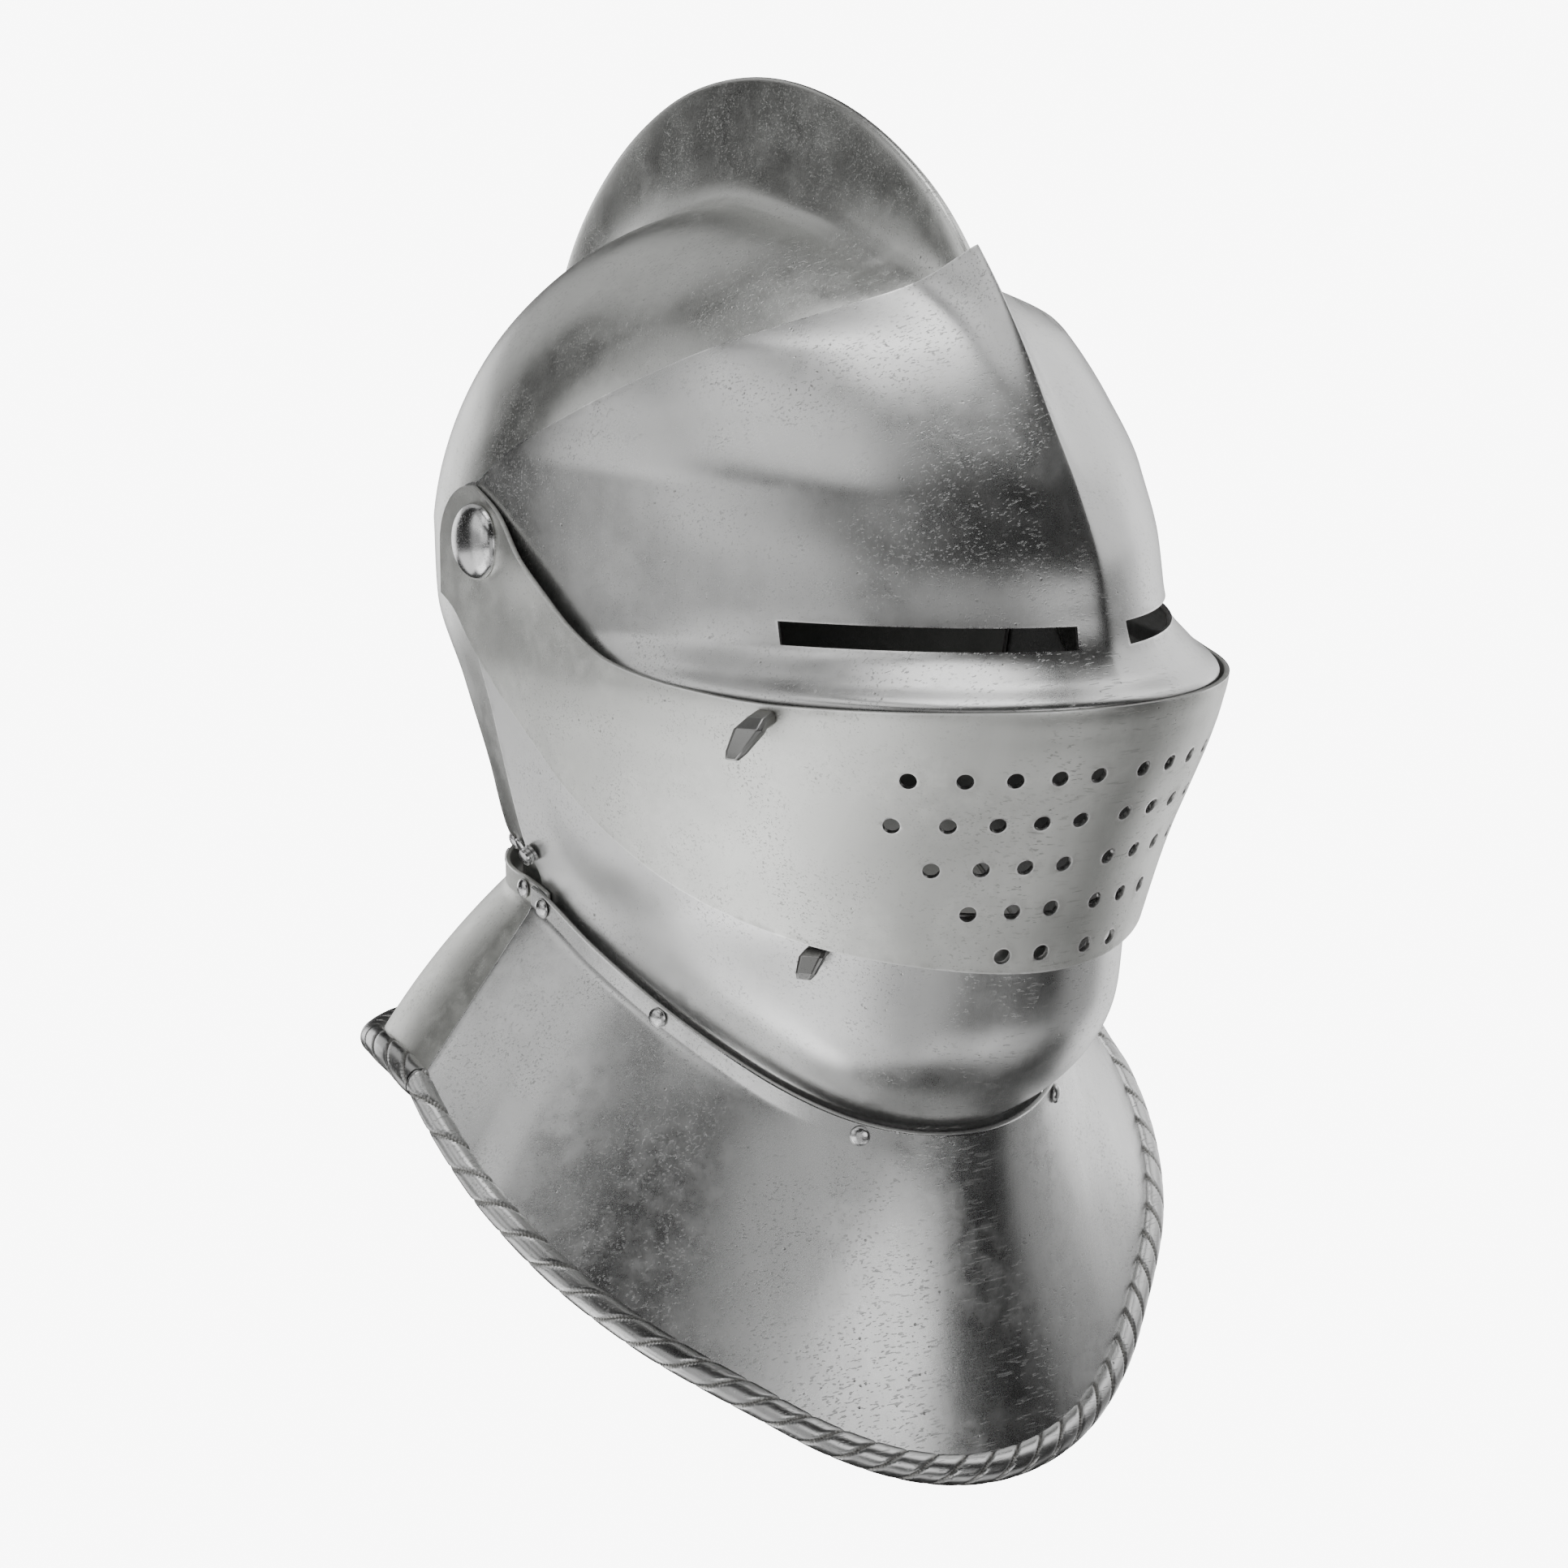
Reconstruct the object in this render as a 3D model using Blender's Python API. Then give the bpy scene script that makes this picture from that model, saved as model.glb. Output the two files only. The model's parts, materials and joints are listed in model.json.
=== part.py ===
"""A close helmet of the armet family: combed skull, pivoted visor, pierced upper bevor, lower bevor
and a two-part gorget with rolled edges.

The helmet faces -Y and its crown is up. The origin is where the top of the wearer's head sits, on
the inner face of the crown straight above the pivots. Every plate is worked out round the pivot
axis, which runs along X, and each object stands PIVOT_Z below the origin, on that axis.
Tables are in millimetres, measured from the pivot axis.
"""
import math

import bmesh
import bpy
import numpy as np
from mathutils.bvhtree import BVHTree

MM = 0.001

# Driving dimensions, in metres
PLATE = 1.6 * MM                # thickness of the steel plates
GAP = 0.45 * MM                 # space between two plates that slide on each other
SEAT = 0.3 * MM                 # space between a rivet head and the plate under it
CROWN_R = 99.0 * MM             # outer radius of the skull straight above the pivots
SKULL_X = 97.4 * MM             # outer face of the skull beside the pivots
SKULL_FLAT = 12.0 * MM          # reach of the flat cheek round the pivots, plate by plate
LOWER_FLAT = 28.0 * MM
VISOR_FLAT = 12.0 * MM
UPPER_FLAT = 30.0 * MM
NECK_X = 80.0 * MM              # half width of the skull's neck opening
NECK_BACK = 71.5 * MM           # neck opening behind the pivots
NECK_FULL = 1.85                # fullness of the collar behind: 2 is an ellipse
NECK_Z = -112.0 * MM            # height of the skull's neck
COLLAR_OFF = 2.5 * MM           # space between the neck and the gorget's upright collar
COLLAR_H = 7.5 * MM             # height of that collar
TAIL = 1.0 * MM                 # where the front gorget ends and the rear one shows
CHEEK = 5.0 * MM                # where the straight sides of the collar end
RIM_X = 131.5 * MM              # half width of the gorget's rolled edge
RIM_FRONT = 130.0 * MM          # rolled edge in front of the pivots
RIM_BACK = 118.0 * MM           # rolled edge behind the pivots
RIM_Z = -164.0 * MM             # rolled edge at the shoulders
RIM_FALL = 0.72                 # slope of the rolled edge at the shoulders
RIM_BOW = 1.02                  # how fast that slope grows, per metre
RIM_DIP = 14.0 * MM             # fall of the rolled edge from the shoulders to the back
ROLL_R = 4.6 * MM               # radius of the rolled edge
REAR_DROP = 1.2 * MM            # how far the rear gorget plate stands under the front one
GORGET_SAG = 4.0 * MM           # hollow of the front gorget between the collar and the rolled edge
SAG_SHARES = (0.3, 0.62)        # where that hollow is shaped, as shares of the way to the edge
TAIL_SHORT = 3.0 * MM           # how far the rear plate's tail ends before the front one's roll
KEEL_WIDTH = 7.5 * MM           # spread of the visor's keel, and how hollow its flanks are
KEEL_HOLLOW = 1.5
UPPER_PEG = (-120.0 * MM, -38.0 * MM)   # lifting pegs: distance behind the pivots and height
LOWER_PEG = (-112.0 * MM, -110.0 * MM)
UPPER_PEG_SIZE = (5.4 * MM, 3.4 * MM)   # width and depth
LOWER_PEG_SIZE = (5.6 * MM, 2.8 * MM)
PEG_TAPER = 0.6                 # size of a peg's tip over its own
STUD_Z = -97.5 * MM             # locking studs and nape rivets
STUD_Y = -2.0 * MM
NAPE_Y = (8.8 * MM, 15.5 * MM)
NAPE_DOME = (2.9 * MM, 1.6 * MM)        # radius and height of the domed nape rivet
PIVOT_HEAD = (11.5 * MM, 5.5 * MM)      # radius and height of a domed head
BAND_HEAD = (3.0 * MM, 1.9 * MM)
PIVOT_SHANK_R = 3.5 * MM
PIVOT_HOLE_R = 3.9 * MM
PIVOT_BURR_R = 7.0 * MM          # burr that holds a pivot inside
BREATH_R = 2.5 * MM             # breath holes
BREATH_FIRST_X = 8.3 * MM       # first breath hole beside the centre line
BREATH_PITCH = 12.1 * MM        # from hole to hole
BREATH_DROP = 14.0 * MM         # from row to row
BREATH_TOP_Z = -54.5 * MM       # first row
BREATH_ROWS = (5, 5, 4, 3, 2)   # holes on each side of the centre line, from the top row down
SIGHT_TOP_Z = -13.5 * MM        # sights: upper edge and lower edge
SIGHT_LOW_Z = -20.0 * MM
SIGHT_ENDS = (9.0 * MM, 71.0 * MM)      # sights: distance of their ends from the centre line

SKULL_FOOT = (-14.0 * MM, -3.0 * MM)    # front corner of the skull's cheek, behind and above the pivots

PIVOT_Z = -(CROWN_R - PLATE)    # height of the pivot axis below the origin
LOWER_X = SKULL_X + GAP + PLATE
THROAT_X = 0.826 * LOWER_X      # outer face of the lower bevor at the neck, beside the pivots
THROAT_FRONT = 112.0 * MM       # and in front of them
THROAT_REACH = 42.0 * MM        # height over which the bowl of the lower bevor draws in to it
VISOR_X = LOWER_X + GAP + PLATE
UPPER_X = VISOR_X + GAP + PLATE

# Skull above the pivots: angle up from the front (degrees), radius over CROWN_R, height of the
# comb's crest (mm) and fullness of the section: 2 is an ellipse
SKULL_RAYS = (
    (30, 1.270, 136.0, 1.62), (38, 1.225, 136.5, 1.64), (48, 1.130, 137.0, 1.74),
    (60, 1.060, 136.5, 1.82), (74, 1.012, 136.3, 1.86), (90, 1.000, 136.6, 1.88),
    (104, 0.990, 136.6, 1.88), (118, 0.990, 135.5, 1.88), (130, 0.998, 134.0, 1.88),
    (142, 1.012, 132.4, 1.88), (155, 1.040, 129.0, 1.88), (168, 1.085, 124.0, 1.88),
    (180, 1.135, 119.0, 1.88),
)
# Skull below the pivots: height (mm), back over NECK_BACK, half width over NECK_X, fullness
NAPE = (
    (-120, 0.990, 1.000, 1.85), (-108, 1.000, 1.000, 1.85), (-95, 1.085, 1.048, 1.80),
    (-75, 1.195, 1.120, 1.75), (-50, 1.373, 1.172, 1.80), (-25, 1.560, 1.206, 1.93),
    (0, 1.5716, 1.2175, 1.88),
)
# Comb section: share of its height, outer half width (mm), inner half width (mm)
COMB = (
    (1.00, 0.0, 0.0), (0.985, 1.5, 0.5), (0.90, 2.3, 1.0), (0.50, 3.4, 1.9), (0.22, 5.6, 3.9),
    (0.00, 14.0, 12.3),
)
# Visor: height (mm), front (mm), half width over VISOR_X, fullness, keel height (mm)
VISOR = (
    (-43, 175.6, 0.984, 2.10, 0.0), (-37.5, 179.4, 0.986, 2.10, 0.2), (-34, 180.4, 0.988, 2.10, 0.3),
    (-28, 174.0, 0.996, 1.92, 0.4), (-20, 169.0, 1.000, 1.72, 0.5), (-10, 166.5, 1.000, 1.67, 0.6),
    (3.5, 163.0, 1.000, 1.67, 1.0), (22.5, 153.0, 1.000, 1.65, 2.0), (41.5, 138.0, 0.945, 1.65, 4.6),
    (60.5, 120.0, 0.845, 1.65, 9.5), (78.5, 98.0, 0.680, 1.42, 15.6), (96, 74.0, 0.520, 1.35, 20.6),
)
# Upper bevor: height (mm), front (mm), half width over UPPER_X, fullness
UPPER = (
    (-125, 147.5, 0.800, 2), (-110.5, 152.0, 0.838, 2), (-96.5, 156.0, 0.880, 2),
    (-83.5, 161.0, 0.912, 2), (-69.5, 168.0, 0.946, 2), (-54.5, 176.0, 0.972, 2),
    (-43.5, 180.5, 0.990, 2), (-34, 183.2, 0.998, 2), (-20, 182.0, 1.000, 2), (30, 160.0, 1.000, 2),
)
# Lower bevor: height (mm), front (mm), half width over LOWER_X, fullness
LOWER = (
    (-192, 128.0, 0.826, 2), (-173.5, 134.0, 0.826, 2), (-160, 138.0, 0.826, 2),
    (-146, 141.5, 0.826, 2), (-130, 144.5, 0.826, 2), (-109, 147.6, 0.826, 2),
    (-95, 151.0, 0.884, 2), (-75, 152.0, 0.932, 2), (-50, 152.0, 0.968, 2),
    (-25, 152.0, 0.995, 2), (0, 150.0, 1.000, 2), (30, 150.0, 1.000, 2),
)
# Edges seen from the side: distance behind the pivots (mm), height (mm)
VISOR_TOP = (
    (-104, 86.5), (-95, 78.2), (-86, 70.9), (-64, 57.6), (-35, 40.4), (-20, 31.8), (3, 17.5),
)
VISOR_LOW = (
    (-185, -40.5), (-120, -41.0), (-96, -39.5), (-66, -36.0), (-48, -28.5), (-30, -19.0),
    (-12, -15.0), (3, -15.5),
)
UPPER_TOP = (
    (-185, -34.0), (-124, -34.6), (-96, -32.7), (-66, -28.0), (-48, -20.0), (-27.5, -4.5),
    (-9.6, 10.3), (3, 16.5),
)
UPPER_LOW = (
    (-155, -119.0), (-145, -115.5), (-114, -107.8), (-83.5, -97.5), (-51, -80.0), (-18, -53.5),
    (6, -31.5), (16, -21.5), (30, -15.0),
)
LOWER_TOP = (
    (-155, -102.0), (-114, -92.0), (-83.5, -80.0), (-51, -58.0), (-28, -36.0), (-20, -22.0),
    (-14, -6.0), (-10, 5.0), (-5, 12.5), (2, 15.5),
)
# Rear edge of the lower bevor: height (mm), distance behind the pivots (mm)
LOWER_REAR = (
    (-130, 4.0), (-112, 4.0), (-82, 3.5), (-57, 6.0), (-37, 10.6), (-15, 15.5), (0, 17.5), (20, 17.5),
)
# Upper edge of the gorget's collar: distance behind the pivots (mm), height (mm)
NECK_EDGE = (
    (-118, -175.5), (-104, -167.8), (-89, -158.2), (-74.5, -148.6), (-54.5, -136.6),
    (-30, -123.0), (0, -109.0), (10, -107.3), (80, -107.0),
)
# Round ends of the plates beside the pivots: behind (mm), above (mm), radius (mm)
VISOR_LOBE = (3.0, 1.0, 16.5)
UPPER_LOBE = (3.0, -3.0, 19.5)
LOWER_LOBE = (2.0, 0.0, 15.5)
# Lifting pegs: steps out, back and down (mm)
UPPER_PEG_PATH = ((0.4, 0, 0), (3.5, 0.3, 0.2), (8.0, 1.4, 2.0), (12.0, 5.0, 12.5))
LOWER_PEG_PATH = ((0.4, 0, 0), (2.5, 0, 0), (5.5, 0.6, 1.2), (8.0, 2.5, 7.0))
# Turned heads beside the nape: radius (mm) and height (mm)
STUD_PROFILE = ((2.9, 0.0), (2.9, 3.0), (2.4, 3.5))
FLAT_PROFILE = ((2.7, 0.0), (2.7, 0.8), (2.2, 1.2))
# Rivets of the collar: degrees round from the front
FRONT_RIVETS = (26, 62, 87)
REAR_RIVETS = (93, 128, 155)

STEEL = {
    "warm_steel": ((0.62, 0.63, 0.60), 0.34),
    "grey_steel": ((0.55, 0.55, 0.56), 0.38),
    "rivet_steel": ((0.66, 0.66, 0.66), 0.26),
}


def smooth_curve(xs, ys, x):
    """Curve through the points that never overshoots them, by Fritsch and Carlson's slopes."""
    xs, ys, x = (np.asarray(values, float) for values in (xs, ys, x))
    step = np.diff(xs)
    rise = np.diff(ys) / step
    slope = np.concatenate((rise[:1], np.zeros(len(rise) - 1), rise[-1:]))
    before, after = 2 * step[1:] + step[:-1], step[1:] + 2 * step[:-1]
    bends = rise[:-1] * rise[1:] <= 0
    left, right = np.where(bends, 1.0, rise[:-1]), np.where(bends, 1.0, rise[1:])
    slope[1:-1] = np.where(bends, 0.0, (before + after) / (before / left + after / right))
    x = np.clip(x, xs[0], xs[-1])
    k = np.clip(np.searchsorted(xs, x) - 1, 0, len(step) - 1)
    t = (x - xs[k]) / step[k]
    return ((1 + 2 * t) * (1 - t) ** 2 * ys[k] + t * (1 - t) ** 2 * step[k] * slope[k]
            + t * t * (3 - 2 * t) * ys[k + 1] + t * t * (t - 1) * step[k] * slope[k + 1])


def read(table, column, x, scale=MM):
    """A column of a table at x, which is in metres as the result is."""
    rows = np.array(table, float)
    return float(smooth_curve(rows[:, 0] * MM, rows[:, column] * scale, x))


def plan_point(station, z, table, width, flat):
    """Point of a plate's plan section: a quarter oval from the centre line, then a straight cheek.

    The oval is x = half sin(a)^(2/p), y = -flat - (front - flat) cos(a)^(2/p), with fullness p.
    """
    angle, along, side = station
    turn = math.radians(angle)
    power = 2 / read(table, 3, z, 1.0)
    front, half = read(table, 1, z), read(table, 2, z, width)
    y = -flat - (front - flat) * max(math.cos(turn), 0.0) ** power + along
    return np.array((side * half * math.sin(turn) ** power, y, z))


def both_sides(half):
    """Stations of both sides from (angle, distance along the cheek) pairs of one side."""
    right = [(angle, along, -1) for angle, along in reversed(half[1:])]
    return right + [(angle, along, 1) for angle, along in half]


def cheek_stops(flat, lobe, count):
    """Stops along the flat cheek, closer together towards the round end of the lobe."""
    length = flat + (lobe[0] + lobe[2]) * MM
    return [length * math.sin(math.pi / 2 * k / count) for k in range(1, count + 1)]


def front_angles(count):
    """Angles from the centre line to the cheek, a little closer together at the centre."""
    return [90 * (k / count) ** 1.1 for k in range(count + 1)]


def side_edge(table, lobe, sign):
    """Height of a plate's edge at y: its table, and then the round end of the lobe."""
    behind, above, radius = (value * MM for value in lobe)

    def height(y):
        if y < behind:
            return read(table, 1, y)
        arc = above + sign * radius * math.sqrt(max(0.0, 1 - ((y - behind) / radius) ** 2))
        return arc if sign > 0 else min(arc, read(table, 1, y))
    return height


def settle(edge, station, table, width, flat):
    """Height at which one column of plan sections meets an edge that is given from the side."""
    z = edge(0.0)
    for _ in range(40):
        y = plan_point(station, z, table, width, flat)[1]
        z = 0.5 * (z + edge(y))
    return z


def normals(grid):
    """Outward unit normals of a grid of points."""
    normal = np.cross(np.gradient(grid, axis=0), np.gradient(grid, axis=1))
    normal /= np.maximum(np.linalg.norm(normal, axis=2, keepdims=True), 1e-12)
    outward = np.sum(normal * (grid - np.array((0.0, 0.0, -0.04))), axis=2)
    return normal * np.sign(np.median(outward))


def steel(name):
    """Principled steel of a given tint."""
    if name in bpy.data.materials:
        return bpy.data.materials[name]
    colour, roughness = STEEL[name]
    made = bpy.data.materials.new(name)
    made.use_nodes = True
    shader = made.node_tree.nodes["Principled BSDF"]
    shader.inputs["Base Color"].default_value = (*colour, 1.0)
    shader.inputs["Metallic"].default_value = 1.0
    shader.inputs["Roughness"].default_value = roughness
    return made


def add_object(name, tint, vertices, faces):
    """Mesh object on the pivot axis, with doubles merged and its faces turned outwards."""
    mesh = bpy.data.meshes.new(name)
    mesh.from_pydata([tuple(map(float, point)) for point in vertices], [], faces)
    work = bmesh.new()
    work.from_mesh(mesh)
    bmesh.ops.remove_doubles(work, verts=work.verts, dist=0.02 * MM)
    bmesh.ops.dissolve_degenerate(work, edges=work.edges, dist=0.01 * MM)
    bmesh.ops.triangulate(work, faces=work.faces)
    bmesh.ops.recalc_face_normals(work, faces=work.faces)
    work.to_mesh(mesh)
    work.free()
    mesh.shade_smooth()
    mesh.set_sharp_from_angle(angle=math.radians(40))
    mesh.materials.append(steel(tint))
    made = bpy.data.objects.new(name, mesh)
    bpy.context.collection.objects.link(made)
    made.location.z = PIVOT_Z
    return made


def plate(name, tint, outer, inner, open_cells=None):
    """Closed plate between an outer and an inner grid; open cells go right through it."""
    rows, count = outer.shape[:2]
    kept = np.ones((rows - 1, count - 1), bool)
    if open_cells is not None:
        kept &= ~open_cells
    vertices = np.concatenate((outer.reshape(-1, 3), inner.reshape(-1, 3)))
    shift = rows * count
    faces = []
    for i, j in zip(*np.nonzero(kept)):
        first = int(i) * count + int(j)
        corner = (first, first + 1, first + count + 1, first + count)
        faces.append(corner)
        faces.append(tuple(c + shift for c in reversed(corner)))
        for side, (p, q) in enumerate(((i - 1, j), (i, j + 1), (i + 1, j), (i, j - 1))):
            if 0 <= p < rows - 1 and 0 <= q < count - 1 and kept[p, q]:
                continue
            a, b = corner[side], corner[(side + 1) % 4]
            faces.append((b, a, a + shift, b + shift))
    return add_object(name, tint, vertices, faces)


def frame_along(normal):
    """A direction made one long, and two directions across it."""
    normal = np.asarray(normal, float) / np.linalg.norm(normal)
    start = np.array((0.0, 0.0, 1.0)) if abs(normal[2]) < 0.9 else np.array((0.0, 1.0, 0.0))
    across = np.cross(start, normal)
    across /= np.linalg.norm(across)
    return normal, across, np.cross(normal, across)


def turned(profile, sides, place, normal):
    """Vertices and faces of a solid turned round a normal, from (radius, height) pairs."""
    normal, across, up = frame_along(normal)
    vertices = []
    for radius, height in profile:
        for k in range(sides):
            turn = 2 * math.pi * k / sides
            spoke = across * math.cos(turn) + up * math.sin(turn)
            vertices.append(np.asarray(place) + normal * height + spoke * radius)
    faces = [tuple(reversed(range(sides))), tuple(range(len(vertices) - sides, len(vertices)))]
    for ring in range(len(profile) - 1):
        for k in range(sides):
            a, b = ring * sides + k, ring * sides + (k + 1) % sides
            faces.append((a, b, b + sides, a + sides))
    return vertices, faces


def dome(radius, height, rings):
    """Profile of a domed head, from its rim to the small flat on its top."""
    turns = [math.radians(78) * k / rings for k in range(rings + 1)]
    return [(radius * math.cos(turn), height * math.sin(turn)) for turn in turns]


def drill(target, name, holes, sides):
    """Cuts round holes, each given as place, direction, radius and half length."""
    vertices, faces = [], []
    for place, normal, radius, reach in holes:
        points, sheets = turned([(radius, -reach), (radius, reach)], sides, place, normal)
        faces += [tuple(c + len(vertices) for c in sheet) for sheet in sheets]
        vertices += points
    tool = add_object(name, "rivet_steel", vertices, faces)
    tool.hide_render = True
    tool.display_type = "WIRE"
    step = target.modifiers.new("holes", "BOOLEAN")
    step.operation = "DIFFERENCE"
    step.object = tool


def pivot_holes(target, x):
    """Holes for the pivot shanks in both cheeks of a plate whose outer face is at x."""
    holes = [((side * x, 0, 0), (side, 0, 0), PIVOT_HOLE_R, 4 * PLATE) for side in (-1, 1)]
    drill(target, target.name + "_pivot_tool", holes, 12)


def skull_half_row(kind, where, inset):
    """Half a row of the skull from the crest of its comb to the front of its cheek.

    A ray row lies at an angle above the pivots, a level row at a height below them. Each point is
    a half width and a distance from the pivot axis; inset is 0 outside and PLATE inside.
    """
    level = 0.0 if kind == "ray" else where / NECK_Z
    if kind == "ray":
        rays = np.array(SKULL_RAYS, float)
        radius = float(smooth_curve(rays[:, 0], rays[:, 1], where)) * CROWN_R
        crest = float(smooth_curve(rays[:, 0], rays[:, 2], where)) * MM - radius
        power = float(smooth_curve(rays[:, 0], rays[:, 3], where))
        half = SKULL_X - inset
    else:
        radius = read(NAPE, 1, where, NECK_BACK)
        crest = (SKULL_RAYS[-1][2] * MM - NAPE[-1][1] * NECK_BACK) * max(0.0, 1 - 2 * level)
        power = read(NAPE, 3, where, 1.0)
        half = read(NAPE, 2, where, NECK_X) - inset
    radius -= inset
    flat = SKULL_FLAT * max(0.0, 1 - level)
    points = []
    for share, outer_x, inner_x in COMB:
        x = (outer_x if inset == 0 else inner_x) * MM
        body = flat + (radius - flat) * (1 - (x / half) ** power) ** (1 / power)
        lift = crest * share - (0.5 * inset if 0.5 < share else 0.0)
        points.append((x, body + max(lift, 0.0)))
    first = math.asin((points[-1][0] / half) ** (power / 2))
    for k in range(1, 7):
        turn = first + (math.pi / 2 - first) * k / 6
        away = max(math.cos(turn), 0.0) ** (2 / power)
        points.append((half * math.sin(turn) ** (2 / power), flat + (radius - flat) * away))
    return points, flat, half


def skull_grid(inset):
    """Grid of the skull's outer or inner face: rays above the pivots, levels below them."""
    rows = [("ray", angle) for angle in np.linspace(SKULL_RAYS[0][0], SKULL_RAYS[-1][0], 14)]
    rows += [("level", z * MM) for z in (-16, -34, -54, -75, -94, -108, -119)]
    foot = np.array(SKULL_FOOT)
    grid = []
    for kind, where in rows:
        points, flat, half = skull_half_row(kind, where, inset)
        if kind == "ray":
            way = np.array((-math.cos(math.radians(where)), math.sin(math.radians(where))))
            row = [(x, *(way * far)) for x, far in points]
            row += [(half, *(way * flat * (1 - share) + foot * share)) for share in (0.5, 1.0)]
        else:
            front = foot[0] + where / NECK_Z * 7 * MM
            row = [(x, far, where) for x, far in points]
            row += [(half, flat + (front - flat) * share, where) for share in (0.5, 1.0)]
        row = np.array(row)
        grid.append(np.concatenate((row[:0:-1] * (-1, 1, 1), row)))
    return np.array(grid)


def build_skull():
    """Skull with its hollow comb, open in front and below."""
    made = plate("skull", "warm_steel", skull_grid(0.0), skull_grid(PLATE))
    pivot_holes(made, SKULL_X)
    return made


def column_grid(stations, table, width, flat, low, high, shares):
    """Grid of plan sections between a lower and an upper edge that are seen from the side."""
    grid = np.zeros((len(shares), len(stations), 3))
    for j, station in enumerate(stations):
        bottom = settle(low, station, table, width, flat)
        top = settle(high, station, table, width, flat)
        for i, share in enumerate(shares):
            z = share(bottom, top) if callable(share) else bottom + (top - bottom) * share
            grid[i, j] = plan_point(station, z, table, width, flat)
    return grid


def sight_level(share):
    """Level of the visor at the sights' lower edge (0) or upper edge (1), closer at the cheeks."""
    def height(bottom, top):
        low = max(SIGHT_LOW_Z, bottom + 0.17 * (top - bottom))
        return low + share * min(SIGHT_TOP_Z - SIGHT_LOW_Z, 0.25 * (top - bottom))
    return height


def between(lower, upper, share):
    """Level part way between two other levels."""
    def height(bottom, top):
        return lower(bottom, top) * (1 - share) + upper(bottom, top) * share
    return height


def raise_keel(grid):
    """Pushes the visor's centre outwards from the pivot axis into a keel with hollow flanks."""
    for point in grid.reshape(-1, 3):
        height = read(VISOR, 4, point[2])
        rise = height * math.exp(-(abs(point[0]) / KEEL_WIDTH) ** KEEL_HOLLOW)
        point[1:] *= 1 + rise / math.hypot(point[1], point[2])
    return grid


def visor_angles():
    """Angles of the visor's columns, two of which run down the ends of its sights."""
    half = read(VISOR, 2, SIGHT_TOP_Z, VISOR_X)
    power = read(VISOR, 3, SIGHT_TOP_Z, 1.0) / 2
    first, last = (math.degrees(math.asin((end / half) ** power)) for end in SIGHT_ENDS)
    inner = [first * share for share in (0.0, 0.33, 0.66)]
    middle = [first + (last - first) * k / 5 for k in range(6)]
    outer = [last + (90 - last) * k / 3 for k in range(1, 4)]
    return inner + middle + outer, (3, 8)


def build_visor():
    """Visor with a keel and two sights, whose round ends turn on the pivots."""
    angles, sight = visor_angles()
    half = [(angle, 0.0) for angle in angles]
    half += [(90, stop) for stop in cheek_stops(VISOR_FLAT, VISOR_LOBE, 5)]
    low, high = sight_level(0.0), sight_level(1.0)
    shares = [0.0, between(lambda b, t: b, low, 0.34), between(lambda b, t: b, low, 0.67), low, high]
    shares += [between(high, lambda b, t: t, k / 6) for k in range(1, 7)]
    grid = column_grid(both_sides(half), VISOR, VISOR_X, VISOR_FLAT,
                       side_edge(VISOR_LOW, VISOR_LOBE, -1), side_edge(VISOR_TOP, VISOR_LOBE, 1),
                       shares)
    raise_keel(grid)
    open_cells = np.zeros((grid.shape[0] - 1, grid.shape[1] - 1), bool)
    centre = len(half) - 1
    open_cells[3, centre + sight[0]:centre + sight[1]] = True
    open_cells[3, centre - sight[1]:centre - sight[0]] = True
    visor = plate("visor", "grey_steel", grid, grid - PLATE * normals(grid), open_cells)
    pivot_holes(visor, VISOR_X)


def upper_point(x, z):
    """Point and outward normal of the upper bevor's outer face at x and z."""
    def at(across, height):
        angle = math.degrees(math.asin(min(1.0, abs(across) / read(UPPER, 2, height, UPPER_X))))
        side = math.copysign(1, across)
        return plan_point((angle, 0.0, side), height, UPPER, UPPER_X, UPPER_FLAT)
    step = 0.5 * MM
    normal = np.cross(at(x + step, z) - at(x - step, z), at(x, z + step) - at(x, z - step))
    return at(x, z), normal / np.linalg.norm(normal)


def build_upper_bevor():
    """Upper bevor with its rows of breath holes."""
    half = [(angle, 0.0) for angle in front_angles(10)]
    half += [(90, stop) for stop in cheek_stops(UPPER_FLAT, UPPER_LOBE, 6)]
    grid = column_grid(both_sides(half), UPPER, UPPER_X, UPPER_FLAT,
                       side_edge(UPPER_LOW, UPPER_LOBE, -1), side_edge(UPPER_TOP, UPPER_LOBE, 1),
                       [k / 5 for k in range(6)])
    bevor = plate("upper_bevor", "warm_steel", grid, grid - PLATE * normals(grid))
    pivot_holes(bevor, UPPER_X)
    holes = []
    for row, count in enumerate(BREATH_ROWS):
        for side in (-1, 1):
            for k in range(count):
                place, normal = upper_point(side * (BREATH_FIRST_X + k * BREATH_PITCH),
                                            BREATH_TOP_Z - row * BREATH_DROP)
                holes.append((place, normal, BREATH_R, 4 * PLATE))
    drill(bevor, "breath_tool", holes, 6)
    return bevor


def neck_edge(y):
    """Height of the collar's upper edge at y: level behind the pivots, falling to the chin."""
    return read(NECK_EDGE, 1, y)


def lower_point(station, z):
    """Point of the lower bevor, whose bowl is drawn in to the throat towards the collar."""
    point = plan_point(station, z, LOWER, LOWER_X, LOWER_FLAT)
    if point[1] >= 0:
        return point
    ring = 1 / math.hypot(point[0] / THROAT_X, point[1] / THROAT_FRONT)
    scale = ring
    for _ in range(4):
        above = z - neck_edge(point[1] * scale)
        share = min(1.0, max(0.0, 1 - above / THROAT_REACH)) ** 2
        scale = 1 + (ring - 1) * share
    return np.array((point[0] * scale, point[1] * scale, z))


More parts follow.
